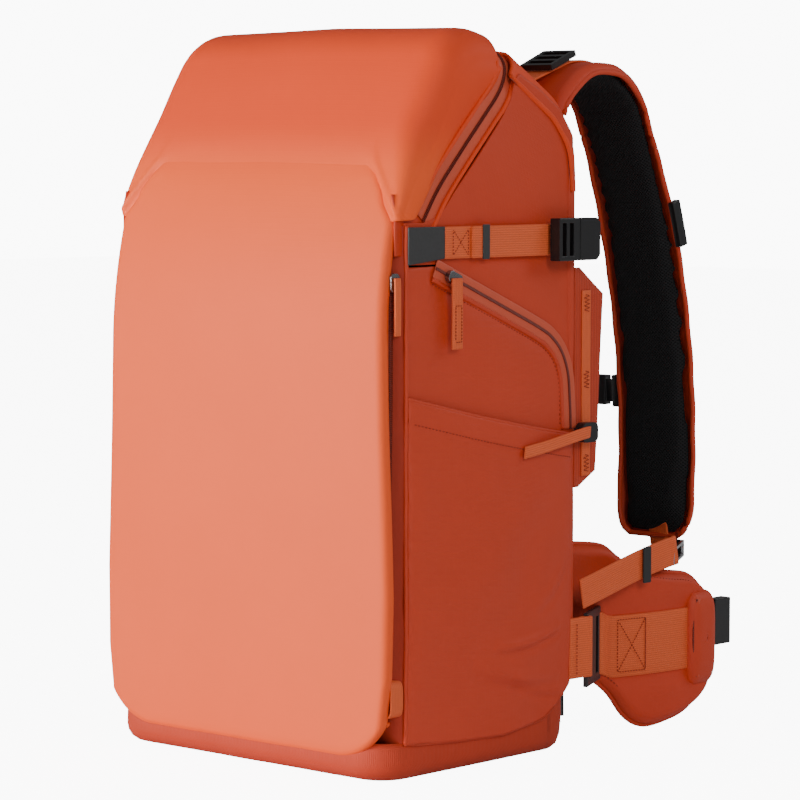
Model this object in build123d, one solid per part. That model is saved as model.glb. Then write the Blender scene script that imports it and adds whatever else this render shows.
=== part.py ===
from build123d import *
from math import asin, cos, degrees, radians, sin, sqrt
import os

# Daypack, in millimetres. X runs across the pack, Z is up. Every y below is measured back
# from the front face; save() then moves the parts so that the origin is at the centre of the base.

# ---- driving dimensions ----
WIDTH = 308.0
DEPTH = 235.0
HEIGHT = 580.0
HALF = WIDTH / 2
WALL = 5.0               # padded side, top and lid walls
FRONT_THICK = 4.0        # outer front panel
BACK_THICK = 8.0         # stiff back panel
BASE_TOP = 23.4          # height of the padded base
GAP = 0.6                # between a swinging part and its frame

# side profile: straight front, two front arcs up to the ridge, one arc and a slope to the back
FRONT_STRAIGHT = 330.0
RIDGE_Y = 114.0
FRONT_ARC_ANGLE = 35.0
CROWN_RADIUS = 60.0
REAR_SLOPE = 32.0
REAR_RADIUS = 65.0

# lid and its zip
HINGE_Z = 432.0
ZIP_START_Y = 46.0
ZIP_SLOPE = 48.5
ZIP_TOP_Y = 146.0
ZIP_RADIUS = 55.0
TAPE = 12.0              # width of one half of the zip's tape
TEETH_GAP = 0.4
LID_ROUND = 20.0

# front pocket
SEAM_Y = 24.0            # front edge of the side walls
GUSSET_X = 140.0
CHAIN_Y = 15.0

# side door, on the right side, and the bottle pockets
DOOR_TOP = 397.0
DOOR_SLOPE = 21.8
DOOR_SLOPE_Y = 59.0
DOOR_REAR = 224.0
DOOR_RADIUS = 55.0
HEM_FRONT = 296.0
HEM_FALL = 0.2
POCKET_DEEP = 11.0

# webbing
WEB = 25.0
WEB_THICK = 2.5
STRAP_Z = 414.5          # middle of the compression straps

# shoulder straps: a crest arc over the shoulder and a long arc down the chest
STRAP_INNER, STRAP_OUTER = 50.0, 128.0
CREST = (300.0, 488.0)
CREST_RADIUS = 66.0
CREST_START, CREST_END = 155.0, 26.0
CHEST_RADIUS = 660.0
CHEST_END = -6.5
PAD_IN, PAD_OUT = -9.0, 1.0
SHELL_OUT = 4.0
LOWER_ANCHOR = (152.0, 239.0, 126.0)
STERNUM_X = STRAP_INNER - 16

# hip belt: a padded fin on an arc that wraps round the hips
FIN_RADIUS = 258.8
FIN_CENTRE = (-108.8, 385.0)
FIN_THICK = 12.0
HOOK_Z = (48.0, 109.0)


def slab(face, x0, x1):
    """Extrudes a (y, z) outline between two x values."""
    return extrude(Plane.YZ.offset(x0) * face, x1 - x0)


def block(x0, x1, y0, y1, z0, z1):
    return Pos((x0 + x1) / 2, (y0 + y1) / 2, (z0 + z1) / 2) * Box(x1 - x0, y1 - y0, z1 - z0)


def outline(*points):
    """A straight-sided closed outline."""
    return make_face(Polyline(*points, close=True))


def left_of(shape):
    return mirror(shape, about=Plane.YZ)


def both(shape):
    """The shape and its mirror image on the other side, as separate solids."""
    return Compound(children=[*shape.solids(), *left_of(shape).solids()])


def group(*shapes):
    """Several separate solids in one node."""
    return Compound(children=[s for shape in shapes for s in shape.solids()])


# ---- side profile ----
SPREAD = (HEIGHT - FRONT_STRAIGHT - RIDGE_Y) / (
    cos(radians(FRONT_ARC_ANGLE)) + sin(radians(FRONT_ARC_ANGLE)) - 1
)
FRONT_RADIUS = RIDGE_Y + SPREAD * cos(radians(FRONT_ARC_ANGLE))
RIDGE_RADIUS = FRONT_RADIUS - SPREAD
SLOPE_TAN = sin(radians(REAR_SLOPE)) / cos(radians(REAR_SLOPE))
SLOPE_START = (
    RIDGE_Y + CROWN_RADIUS * sin(radians(REAR_SLOPE)),
    HEIGHT - CROWN_RADIUS * (1 - cos(radians(REAR_SLOPE))),
)
REAR_Y = DEPTH - REAR_RADIUS
REAR_Z = (
    SLOPE_START[1]
    - SLOPE_TAN * (REAR_Y + REAR_RADIUS * sin(radians(REAR_SLOPE)) - SLOPE_START[0])
    - REAR_RADIUS * cos(radians(REAR_SLOPE))
)


def profile(inset=0.0, bottom=BASE_TOP + GAP):
    """The pack's side outline above the base, moved inwards by inset."""
    front = CenterArc((FRONT_RADIUS, FRONT_STRAIGHT), FRONT_RADIUS - inset, 180, -FRONT_ARC_ANGLE)
    ridge = CenterArc(
        (RIDGE_Y, HEIGHT - RIDGE_RADIUS), RIDGE_RADIUS - inset, 180 - FRONT_ARC_ANGLE, FRONT_ARC_ANGLE - 90
    )
    crown = CenterArc((RIDGE_Y, HEIGHT - CROWN_RADIUS), CROWN_RADIUS - inset, 90, -REAR_SLOPE)
    rear = CenterArc((REAR_Y, REAR_Z), REAR_RADIUS - inset, 90 - REAR_SLOPE, REAR_SLOPE - 90)
    return make_face([
        Line((inset, bottom), (inset, FRONT_STRAIGHT)),
        front,
        ridge,
        crown,
        Line(crown @ 1, rear @ 0),
        rear,
        Line(rear @ 1, (DEPTH - inset, bottom)),
        Line((DEPTH - inset, bottom), (inset, bottom)),
    ])


def front_y(z, inset=0.0):
    """The front's y at a height on the first front arc."""
    rise = max(z - FRONT_STRAIGHT, 0)
    return FRONT_RADIUS - sqrt((FRONT_RADIUS - inset) ** 2 - rise**2)


def ahead_of_zip(shift):
    """The (y, z) region in front of the lid's zip line, moved forwards by shift."""
    tilt = radians(ZIP_SLOPE)
    radius = ZIP_RADIUS - shift
    centre = (ZIP_TOP_Y - ZIP_RADIUS, HINGE_Z + 134.0)
    start = (ZIP_START_Y - shift / sin(tilt), HINGE_Z)
    arc = CenterArc(centre, radius, ZIP_SLOPE - 90, 90 - ZIP_SLOPE)
    top = (centre[0] + radius, HEIGHT + 20)
    return make_face([
        Line(start, arc @ 0),
        arc,
        Line(arc @ 1, top),
        Line(top, (-20, HEIGHT + 20)),
        Line((-20, HEIGHT + 20), (-20, HINGE_Z)),
        Line((-20, HINGE_Z), start),
    ])


def rounded(inset):
    """The whole bag moved inwards by inset, with its side edges rounded."""
    whole = slab(profile(inset), -HALF + inset, HALF - inset)
    faces = whole.faces().sort_by(Axis.X)
    rims = [e for f in (faces[0], faces[-1]) for e in f.edges() if e.center().Z > HINGE_Z - 60]
    return fillet(rims, LID_ROUND - inset)


def soften(shape):
    """Rounds what lies ahead of the slope's middle; the harness edge stays square."""
    return shape & (rounded(0) + block(-HALF, HALF, 190, DEPTH, 0, HEIGHT))


def zip_tape(front, rear):
    """One half of the lid's zip: a band down each side and across the top, sunk 2 mm."""
    band = ahead_of_zip(rear) - ahead_of_zip(front)
    return (rounded(2) - rounded(4)) & slab(band, -HALF, HALF)


# ---- body walls ----
def base_panel():
    plan = extrude(Pos(0, DEPTH / 2) * RectangleRounded(WIDTH, DEPTH, 28), BASE_TOP)
    return fillet(plan.faces().sort_by(Axis.Z)[0].edges(), 9)


def front_panel():
    skin = (profile(0) - profile(FRONT_THICK)) & outline(
        (-20, BASE_TOP), (SEAM_Y, BASE_TOP), (SEAM_Y, HINGE_Z - GAP), (-20, HINGE_Z - GAP)
    )
    return slab(skin, -HALF, HALF)


def front_wall():
    return block(-HALF + WALL, HALF - WALL - GAP, SEAM_Y, SEAM_Y + 4, BASE_TOP, HINGE_Z - 2)


def front_gussets():
    strip = profile(FRONT_THICK) & outline((0, 24), (SEAM_Y, 24), (SEAM_Y, HINGE_Z - 4), (0, HINGE_Z - 4))
    return both(slab(strip, GUSSET_X, GUSSET_X + 4))


def front_zip_chains():
    return both(block(GUSSET_X + 4, GUSSET_X + 5.2, CHAIN_Y - 2, CHAIN_Y + 2, 84, 392))


def door_outline(shrink=0.0):
    """The side door: a level top, a slope, a rear arc and a straight rear edge."""
    fall = sin(radians(DOOR_SLOPE)) / cos(radians(DOOR_SLOPE))
    centre_y = DOOR_REAR - DOOR_RADIUS
    corner_y = centre_y + DOOR_RADIUS * sin(radians(DOOR_SLOPE))
    centre_z = DOOR_TOP - fall * (corner_y - DOOR_SLOPE_Y) - DOOR_RADIUS * cos(radians(DOOR_SLOPE))
    arc = CenterArc((centre_y, centre_z), DOOR_RADIUS - shrink, 90 - DOOR_SLOPE, DOOR_SLOPE - 90)
    top = DOOR_TOP - shrink
    knee = (DOOR_SLOPE_Y - shrink * 0.2, top)
    rear, low = DOOR_REAR - shrink, BASE_TOP + shrink
    return make_face([
        Line((SEAM_Y, low), (SEAM_Y, top)),
        Line((SEAM_Y, top), knee),
        Line(knee, arc @ 0),
        arc,
        Line(arc @ 1, (rear, low)),
        Line((rear, low), (SEAM_Y, low)),
    ])


def side_wall():
    """The whole side wall behind the seam and under the zip, as a (y, z) face."""
    behind = outline((SEAM_Y, 0), (DEPTH + 20, 0), (DEPTH + 20, HEIGHT + 20), (SEAM_Y, HEIGHT + 20))
    return (profile(0, BASE_TOP) & behind) - ahead_of_zip(-TAPE)


def side_panel_right():
    cut = door_outline() + outline((SEAM_Y - 5, 0), (DOOR_REAR, 0), (DOOR_REAR, 60), (SEAM_Y - 5, 60))
    return soften(slab(side_wall() - cut, HALF - WALL, HALF))


def side_panel_left():
    return soften(slab(side_wall(), -HALF, -HALF + WALL))


def back_panel():
    straight = outline((200, BASE_TOP), (260, BASE_TOP), (260, REAR_Z - 10), (200, REAR_Z - 10))
    return slab((profile(0, BASE_TOP) - profile(BACK_THICK, 0)) & straight, -HALF + WALL, HALF - WALL)


def yoke():
    above = outline((100, REAR_Z - 10), (260, REAR_Z - 10), (260, 620), (100, 620))
    shell = (rounded(0) - rounded(WALL)) + slab(profile(0) - profile(WALL), -HALF + WALL, HALF - WALL)
    return soften(shell & slab(above - ahead_of_zip(-TAPE), -HALF + WALL, HALF - WALL))


def frame_sheet():
    return block(-120, 120, 220.5, 222.5, 40, 455)


def frame_stays():
    return both(block(38, 56, 222.9, 226.4, 50, 445))


def back_pads():
    """Two long pads beside the spine, a lumbar pad, and the part of the belt behind it."""
    column = block(18, 98, DEPTH, DEPTH + 16, 190, 440)
    column = fillet(column.edges().filter_by(Axis.Y), 16)
    column = chamfer(column.faces().sort_by(Axis.Y)[-1].edges(), 5)
    lumbar = block(-98, 98, DEPTH, DEPTH + 22, 70, 172)
    lumbar = fillet(lumbar.edges().filter_by(Axis.Y), 22)
    lumbar = chamfer(lumbar.faces().sort_by(Axis.Y)[-1].edges(), 7)
    return group(both(column), lumbar)


def body_zip_tape():
    return zip_tape(-TEETH_GAP, -TAPE)


# ---- lid ----
def lid_shell():
    return (rounded(0) - rounded(WALL)) & slab(ahead_of_zip(TAPE), -HALF, HALF)


def lid_zip_tape():
    return zip_tape(TAPE, TEETH_GAP)


def on_slope(y, shape):
    """Places a shape made flat at the origin on the sloping top, y back from the front."""
    z = SLOPE_START[1] - SLOPE_TAN * (y - SLOPE_START[0])
    return Pos(0, y, z) * Rot(-REAR_SLOPE, 0, 0) * shape


def lid_slider_right():
    """A metal zip slider with its bail, parked beside the middle on the body half of the tape."""
    body = block(4, 16, 3, 11, -1.7, 2.3)
    body = chamfer(body.edges().filter_by(Axis.Z), 2)
    bail = block(8, 12, 4, 10, 2.3, 4.5) - block(7, 13, 5.5, 8.5, 2.3, 3.5)
    return on_slope(ZIP_TOP_Y, body + bail)


def lid_pull_right():
    """A cord pull lying flat on the top, hinged on the slider's bail."""
    return on_slope(ZIP_TOP_Y, block(8, 12, 11.4, 40, 2.0, 4.6))


# ---- front pocket zips and loops ----
def front_slider_right():
    return chamfer(block(145.6, 150.4, 10, 20, 378, 392).edges().filter_by(Axis.X), 2)


def front_pull_right():
    return block(151, 153.4, 11, 18, 346, 386.5)


# ---- side door and bottle pockets ----
def side_door():
    return slab(door_outline(GAP), HALF - WALL, HALF)


def door_zip():
    """The door's zip chain, down to where the bottle pocket covers it."""
    band = door_outline(1) - door_outline(7)
    keep = outline((30, 262), (300, 262), (300, 420), (30, 420))
    return slab(band & keep, HALF, HALF + 1.2)


def along_door_zip(shape):
    """Places a shape, made level at the origin, on the sloping part of the door's zip."""
    return Pos(HALF + 1.6, 74, DOOR_TOP - 10) * Rot(-DOOR_SLOPE, 0, 0) * shape


def door_slider():
    return along_door_zip(chamfer(block(0, 4.6, -8, 8, -4.5, 4.5).edges().filter_by(Axis.X), 2))


def door_pull():
    return block(HALF + 6.8, HALF + 9.2, 67, 79, 334, 388.5)


def bottle_pocket(x_base):
    """An open-topped pouch standing off the side, its hem falling towards the back."""
    def pouch(shrink, low):
        front, rear = 26 + shrink, 222 - shrink
        top = HEM_FRONT if not shrink else HEM_FRONT + 20
        return outline((front, low), (front, top), (rear, top - HEM_FALL * 196), (rear, low))

    outer = slab(pouch(0, 26), x_base, x_base + POCKET_DEEP)
    outer = fillet(outer.edges().filter_by(Axis.Z).sort_by(Axis.X)[-2:], 7)
    return outer - slab(pouch(2.5, 28.5), x_base, x_base + POCKET_DEEP - 2.5)


def bottle_pocket_right():
    return bottle_pocket(HALF)


def bottle_pocket_left():
    return left_of(bottle_pocket(HALF))


def cinch_right():
    """The cord lock at the rear end of the hem, on a short flat tail."""
    lock = fillet(block(HALF + 2.5, HALF + 10, 226, 246, 250, 266).edges().filter_by(Axis.X), 5)
    return lock + block(HALF + 4, HALF + 7, 222, 226, 254, 262)


def cinch_left():
    return left_of(cinch_right())


# ---- compression straps ----
def strap_tabs():
    face = outline((SEAM_Y, 398), (SEAM_Y, 427), (72, 427), (72, 403))
    x = HALF + 2 * WEB_THICK
    keeper = block(x, x + 1.4, 106, 114, STRAP_Z - 13.5, STRAP_Z + 13.5)
    return both(group(slab(face, HALF, HALF + 2), keeper))


def compression_straps():
    low, high = STRAP_Z - WEB / 2, STRAP_Z + WEB / 2
    run = block(HALF, HALF + WEB_THICK, 72, 196, low, high)
    tail = block(HALF + WEB_THICK, HALF + 2 * WEB_THICK, 98, 184, low, high)
    rear = block(HALF, HALF + WEB_THICK, 226, 234, low, high)
    return both(group(run + tail, rear))


BUCKLE_X = HALF + 6.0


def compression_sockets():
    """The buckle halves sewn to the back edge: flat boxes, open to the front."""
    box = block(BUCKLE_X, BUCKLE_X + 10, 214.5, 240, STRAP_Z - 17, STRAP_Z + 17)
    box = chamfer(box.edges().filter_by(Axis.X).sort_by(Axis.Y)[-2:], 4)
    cavity = block(BUCKLE_X + 2, BUCKLE_X + 8, 210, 236, STRAP_Z - 13.5, STRAP_Z + 13.5)
    foot = block(HALF + WEB_THICK, BUCKLE_X, 227, 234, STRAP_Z - 11, STRAP_Z + 11)
    return both(box - cavity + foot)


def compression_clip_right():
    """The buckle half on the strap: a ladder body and two sprung prongs."""
    body = block(BUCKLE_X, BUCKLE_X + 10, 188, 214, STRAP_Z - 17, STRAP_Z + 17)
    slots = (block(BUCKLE_X - 1, BUCKLE_X + 11, y, y + 5, STRAP_Z - 13, STRAP_Z + 13) for y in (192, 201))
    for slot in slots:
        body -= slot
    for low in (STRAP_Z - 12.5, STRAP_Z + 7.5):
        body += block(BUCKLE_X + 3, BUCKLE_X + 7, 214, 233, low, low + 5)
    return body


# ---- shoulder straps ----
CREST_LAST = (CREST[0] + CREST_RADIUS * cos(radians(CREST_END)),
              CREST[1] + CREST_RADIUS * sin(radians(CREST_END)))
CHEST = (CREST_LAST[0] - CHEST_RADIUS * cos(radians(CREST_END)),
         CREST_LAST[1] - CHEST_RADIUS * sin(radians(CREST_END)))


def ring_part(centre, inner, outer, start, end):
    """A band between two radii and two angles, as a (y, z) face."""
    first = CenterArc(centre, outer, start, end - start)
    second = CenterArc(centre, inner, end, start - end)
    return make_face([first, Line(first @ 1, second @ 0), second, Line(second @ 1, first @ 0)])


def strap_band(inner, outer):
    crest = ring_part(CREST, CREST_RADIUS + inner, CREST_RADIUS + outer, CREST_START, CREST_END)
    chest = ring_part(CHEST, CHEST_RADIUS + inner, CHEST_RADIUS + outer, CREST_END, CHEST_END)
    return crest + chest


def strap_pad_right():
    return slab(strap_band(PAD_IN, PAD_OUT), STRAP_INNER, STRAP_OUTER)


def strap_shell_right():
    return slab(strap_band(PAD_OUT, SHELL_OUT), STRAP_INNER + 1, STRAP_OUTER - 1)


def chest_band(inner, outer, low, high, x0, x1):
    """A piece of the chest arc between two heights."""
    angles = [degrees(asin((z - CHEST[1]) / CHEST_RADIUS)) for z in (high, low)]
    return slab(ring_part(CHEST, CHEST_RADIUS + inner, CHEST_RADIUS + outer, *angles), x0, x1)


def lifter_curve(inner, outer, start, end):
    """A piece of webbing on the crest of the strap, between two angles."""
    middle = (STRAP_INNER + STRAP_OUTER) / 2
    band = ring_part(CREST, CREST_RADIUS + inner, CREST_RADIUS + outer, start, end)
    return slab(band, middle - WEB / 2, middle + WEB / 2)


def load_lifter():
    """Webbing from the chest over the crest, and on to the pack's top."""
    middle = (STRAP_INNER + STRAP_OUTER) / 2
    over = lifter_curve(SHELL_OUT, SHELL_OUT + 2, 112, CREST_END)
    run = ring_part(CHEST, CHEST_RADIUS + SHELL_OUT, CHEST_RADIUS + SHELL_OUT + 2, CREST_END, 12)
    tilt = radians(112)
    ends = [(CREST[0] + r * cos(tilt), CREST[1] + r * sin(tilt))
            for r in (CREST_RADIUS + SHELL_OUT + 2, CREST_RADIUS + SHELL_OUT)]
    to_pack = outline(*ends, (219, 533), (218, 535))
    x0, x1 = middle - WEB / 2, middle + WEB / 2
    return over + slab(run, x0, x1) + slab(to_pack, x0, x1)


def lifter_buckle():
    """A ladder buckle standing on the webbing at the crest."""
    middle = (STRAP_INNER + STRAP_OUTER) / 2
    plate = block(middle - 17, middle + 17, -17, 17, 0, 5)
    for y in (-13, -3, 7):
        plate -= block(middle - 13, middle + 13, y, y + 6, -1, 6)
    radius = CREST_RADIUS + SHELL_OUT + 2
    tilt = radians(112)
    place = Pos(0, CREST[0] + radius * cos(tilt), CREST[1] + radius * sin(tilt)) * Rot(22, 0, 0)
    return place * Pos(0, 0, 2.2) * plate


def strap_hardware_right():
    """The lifter's ladder buckle, the edge slider and the adjuster's elastic keeper."""
    slider = chest_band(-7, 3, 405, 443, STRAP_OUTER, STRAP_OUTER + 6)
    return group(lifter_buckle(), slider, adjuster_keeper())


def strap_tail():
    """Webbing from the low end of the strap to the metal hook."""
    return slab(ring_part(CHEST, CHEST_RADIUS - 5, CHEST_RADIUS - 2.5, CHEST_END, -8.6), 88, 113)


def metal_hook_right():
    plan = outline((113, 410.5), (113, 413.5), (126, 413.5), (157.5, 358), (154.5, 356), (124.5, 410.5))
    bar = extrude(Pos(0, 0, 138) * plan, 14)
    slot = extrude(Pos(0, 0, 141) * outline((128, 412), (122, 404), (146, 366), (156, 366)), 8)
    return bar - slot


def adjuster():
    rise = 0.2
    start, end = LOWER_ANCHOR[1] - 1.4, 356.0
    low = LOWER_ANCHOR[2] - WEB / 2
    face = outline((start, low), (start, low + WEB), (end, low + WEB + rise * (end - start)),
                   (end, low + rise * (end - start)))
    return slab(face, HALF + 0.4, HALF + 0.4 + WEB_THICK)


def adjuster_keeper():
    z = LOWER_ANCHOR[2] + 0.2 * 80
    return block(HALF + 0.4 + WEB_THICK, HALF + 4.4, 315, 325, z - 15, z + 15)


def strap_webbing_right():
    return group(load_lifter(), strap_tail(), adjuster())


def sternum_clip():
    """The clip on the strap's inner edge, with the short webbing that ends in the buckle half."""
    clip = chest_band(-6, 2, 262, 290, STRAP_INNER - 8, STRAP_INNER - 0.4)
    return clip + chest_band(-3.5, -1, 266, 286, STERNUM_X, STRAP_INNER - 8)


def sternum_socket_right():
    y = CHEST[0] + CHEST_RADIUS - 7
    box = block(STERNUM_X - 16, STERNUM_X, y, y + 9, 263, 289)
    return sternum_clip() + (box - block(STERNUM_X - 17, STERNUM_X - 3, y + 2, y + 7, 266, 286))


def sternum_plug_left():
    y = CHEST[0] + CHEST_RADIUS - 7
    body = sternum_clip() + block(STERNUM_X - 6, STERNUM_X, y, y + 9, 264, 288)
    for low in (268, 280):
        body += block(STERNUM_X - 16, STERNUM_X - 6, y + 3, y + 6, low, low + 4)
    return left_of(body)


# ---- hip belt ----
def fin_band(inner, outer):
    ring = Circle(FIN_RADIUS + outer) - Circle(FIN_RADIUS + inner)
    right = Pos(150, 300) * Rectangle(200, 340)
    return extrude((Pos(*FIN_CENTRE) * ring) & right, 200)


def fin_piece(face, inner, outer):
    """The part of the curved belt band inside a (y, z) outline."""
    return fin_band(inner, outer) & slab(face, 60, 220)


def hip_fin_right():
    points = [(258, 60), (258, 161), (296, 157), (322, 137), (390, 126), (414, 110), (424, 80),
              (420, 40), (391, 12), (335, 3), (301, 38)]
    corners = outline(*points)
    corners = fillet([v for v in corners.vertices() if v.Y > 280 or v.X > 280], 8)
    pocket = outline((388, 36), (388, 108), (412, 104), (418, 80), (414, 42))
    return fin_piece(corners, -FIN_THICK, 0) + fin_piece(pocket, 0, 12)


def hip_webbing_right():
    """The webbing sewn along the fin, and the belt's end webbing beyond its tip."""
    run = fin_piece(outline((288, 45), (288, 101), (386, 101), (386, 51)), 0, 2.4)
    tail = fin_piece(outline((415, 68), (415, 92), (436, 92), (436, 68)), -8, -5.6) - hip_fin_right()
    return group(run, tail)


def hip_buckle(length):
    y = 436
    x = FIN_CENTRE[0] + sqrt((FIN_RADIUS - 7) ** 2 - (y - FIN_CENTRE[1]) ** 2)
    return block(x - 5, x + 5, y, y + length, 60, 100)


def hip_socket_right():
    box = hip_buckle(22)
    centre = box.center()
    return box - block(centre.X - 3, centre.X + 3, 440, 470, 64, 96)


def hip_plug_left():
    box = hip_buckle(12)
    centre = box.center()
    for low in (66, 87):
        box += block(centre.X - 2, centre.X + 2, 448, 462, low, low + 7)
    return left_of(box)


def belt_hook_right():
    """The flat hook joining the stabiliser webbing to the belt webbing."""
    plan = outline((156, 244), (152, 242.5), (131.5, 286), (134.8, 287.6))
    plate = extrude(Pos(0, 0, HOOK_Z[0]) * plan, HOOK_Z[1] - HOOK_Z[0])
    for y in (249, 272):
        plate -= block(100, 200, y, y + 8, HOOK_Z[0] + 7, HOOK_Z[1] - 7)
    return plate


def side_wings():
    face = outline((DEPTH, 391), (267, 369), (263, 299), (258, 225), (DEPTH, 213))
    return both(slab(face, HALF - WALL, HALF - WALL + 3))


def grab_handle():
    """A padded webbing loop at the top of the back."""
    loop = block(-44, 44, -3, 3, 4.5, 38) - block(-34, 34, -4, 4, 4, 30)
    loop = fillet(loop.edges().filter_by(Axis.Y).sort_by(Axis.Z)[-2:], 9)
    return on_slope(196, loop)


def sewn_webbing():
    """Webbing sewn to the pack: lash loops, hip stabilisers and the handle's feet."""
    loop = block(GUSSET_X + 4, 153, 8, 20, 52, 80) - block(GUSSET_X, 150.5, 7, 21, 54.5, 77.5)
    stabiliser = block(HALF, HALF + WEB_THICK, 226, 241, 57, 107)
    foot = on_slope(196, block(30, 48, -16, 16, 0, 2.4))
    return both(group(loop, stabiliser, foot))


FIXED = (
    base_panel, front_panel, front_wall, front_gussets, front_zip_chains, side_panel_right,
    side_panel_left, back_panel, yoke, frame_sheet, frame_stays, back_pads, body_zip_tape,
    bottle_pocket_left, cinch_left, strap_tabs, compression_straps, sewn_webbing,
    side_wings, compression_sockets,
)
MOVING = (
    lid_shell, lid_zip_tape, side_door, door_zip, door_slider, door_pull, bottle_pocket_right,
    cinch_right, grab_handle, sternum_socket_right, sternum_plug_left, hip_socket_right, hip_plug_left,
)
# the right-hand pieces that have a separate mirror image on the left
PAIRED = (
    lid_slider_right, lid_pull_right, front_slider_right, front_pull_right, compression_clip_right,
    strap_pad_right, strap_shell_right, strap_webbing_right, strap_hardware_right, metal_hook_right,
    hip_fin_right, hip_webbing_right, belt_hook_right,
)


def save(name, shape):
    """Writes one node, moved so that the origin is at the centre of the base."""
    export_step(Pos(0, -DEPTH / 2, 0) * shape, f"parts/{name}.step")


def nodes():
    """Every node's name and shape."""
    for maker in FIXED + MOVING:
        yield maker.__name__, maker()
    for maker in PAIRED:
        shape = maker()
        yield maker.__name__, shape
        yield maker.__name__.replace("right", "left"), left_of(shape)


if __name__ == "__main__":
    os.makedirs("parts", exist_ok=True)
    for name, shape in nodes():
        save(name, shape)
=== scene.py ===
"""The looks of a daypack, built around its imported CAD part. Working units are millimetres with y measured
back from the front face; place() turns them into the row frame in metres."""

import math

import bpy
import numpy as np
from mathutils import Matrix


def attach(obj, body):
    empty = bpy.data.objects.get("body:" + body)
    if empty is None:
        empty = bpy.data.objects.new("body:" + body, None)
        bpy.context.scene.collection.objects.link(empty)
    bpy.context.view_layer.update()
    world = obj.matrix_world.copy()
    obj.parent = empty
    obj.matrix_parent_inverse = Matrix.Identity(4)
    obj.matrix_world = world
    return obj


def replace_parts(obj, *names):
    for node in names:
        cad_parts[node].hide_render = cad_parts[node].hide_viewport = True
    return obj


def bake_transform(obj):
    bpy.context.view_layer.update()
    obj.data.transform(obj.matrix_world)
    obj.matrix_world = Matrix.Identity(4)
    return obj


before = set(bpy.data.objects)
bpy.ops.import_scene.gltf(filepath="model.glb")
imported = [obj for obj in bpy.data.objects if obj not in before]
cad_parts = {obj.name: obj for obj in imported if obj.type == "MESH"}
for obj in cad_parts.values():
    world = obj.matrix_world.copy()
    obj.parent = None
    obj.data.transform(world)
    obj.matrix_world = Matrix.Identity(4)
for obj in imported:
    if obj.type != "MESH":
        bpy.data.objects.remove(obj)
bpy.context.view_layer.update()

# The pack's own size and the arcs of its outline, seen from the side
HALF = 154.0
DEPTH = 235.0
HEIGHT = 580.0
STRAIGHT = 330.0
FRONT_R = 397.7
RIDGE_R = 51.4
CROWN_R = 60.0
REAR_R = 65.0
REAR_Z = 479.1
SLOPE = math.radians(32)

# Heights and planes that several pieces share
FLAP_LOW_Z = 23
HINGE_Z = 432.0
CREASE_Z = 500.0
GUSSET_TOP_Z = 428
SIDE_X = 151.8
STRAP_Z = 414.5
WEBBING_X = 155.7

# The shoulder strap: a tight arc over the shoulder that meets a wide arc down the chest
STRAP_X = 89
TOP_TURN, JOIN_TURN, LOW_TURN = 155, 26, -6.5
CREST = np.array([300.0, 488.0])
CREST_R = 66.0
CHEST_R = 660.0
JOIN_WAY = np.array([math.cos(math.radians(JOIN_TURN)), math.sin(math.radians(JOIN_TURN))])
CHEST = CREST + (CREST_R - CHEST_R) * JOIN_WAY

# The hip wing: an arc in plan
FIN_R = 258.8
FIN_X = -108.8
FIN_Y = 385.0

SIDES = {1: "right", -1: "left"}


# ---- mesh building ----
def place(points):
    """Millimetres from the front face to metres in the row frame."""
    moved = np.array(points, dtype=float)
    moved[..., 1] -= DEPTH / 2
    return moved * 0.001


def mesh_object(name, verts, quads, uvs):
    """A smooth mesh object at the origin from whole arrays; uvs are per vertex, in metres."""
    mesh = bpy.data.meshes.new(name)
    mesh.vertices.add(len(verts))
    mesh.vertices.foreach_set("co", np.asarray(verts, np.float32).ravel())
    mesh.loops.add(quads.size)
    mesh.loops.foreach_set("vertex_index", quads.astype(np.int32).ravel())
    mesh.polygons.add(len(quads))
    mesh.polygons.foreach_set("loop_start", np.arange(0, quads.size, quads.shape[1], dtype=np.int32))
    mesh.update(calc_edges=True)
    layer = mesh.uv_layers.new(name="UVMap")
    layer.data.foreach_set("uv", np.asarray(uvs, np.float32)[quads.ravel()].ravel())
    mesh.polygons.foreach_set("use_smooth", np.ones(len(quads), bool))
    mesh.validate()
    obj = bpy.data.objects.new(name, mesh)
    bpy.context.scene.collection.objects.link(obj)
    return obj


def run_length(grid, axis):
    """Distance walked along one axis of a grid of points."""
    step = np.linalg.norm(np.diff(grid, axis=axis), axis=2)
    start = np.zeros_like(np.take(step, [0], axis=axis))
    return np.concatenate([start, np.cumsum(step, axis=axis)], axis=axis)


def surface(name, grid, wrap=False, flip=False):
    """A sheet over a grid of points (rows, columns, 3); wrap joins the last column to the first."""
    grid = place(grid)
    rows, cols = grid.shape[:2]
    uvs = np.stack([run_length(grid, 1), run_length(grid, 0)], -1).reshape(-1, 2)
    index = np.arange(rows * cols).reshape(rows, cols)
    ahead = np.roll(index, -1, axis=1) if wrap else index[:, 1:]
    here = index if wrap else index[:, :-1]
    quads = np.stack([here[:-1], ahead[:-1], ahead[1:], here[1:]], -1).reshape(-1, 4)
    if flip:
        quads = quads[:, ::-1]
    return mesh_object(name, grid.reshape(-1, 3), quads, uvs)


def unit(vectors):
    return vectors / np.maximum(np.linalg.norm(vectors, axis=-1, keepdims=True), 1e-9)


def spline(points, count):
    """A Catmull-Rom curve through the points, evenly spaced by length."""
    p = np.asarray(points, float)
    ext = np.vstack([2 * p[0] - p[1], p, 2 * p[-1] - p[-2]])
    t = np.linspace(0, 1, 24, endpoint=False)[None, :, None]
    a, b, c, d = (ext[i:len(ext) - 3 + i][:, None, :] for i in range(4))
    dense = 0.5 * (2 * b + (c - a) * t + (2 * a - 5 * b + 4 * c - d) * t**2 + (3 * b - a - 3 * c + d) * t**3)
    return resample(np.vstack([dense.reshape(-1, p.shape[1]), p[-1:]]), count)


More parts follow.
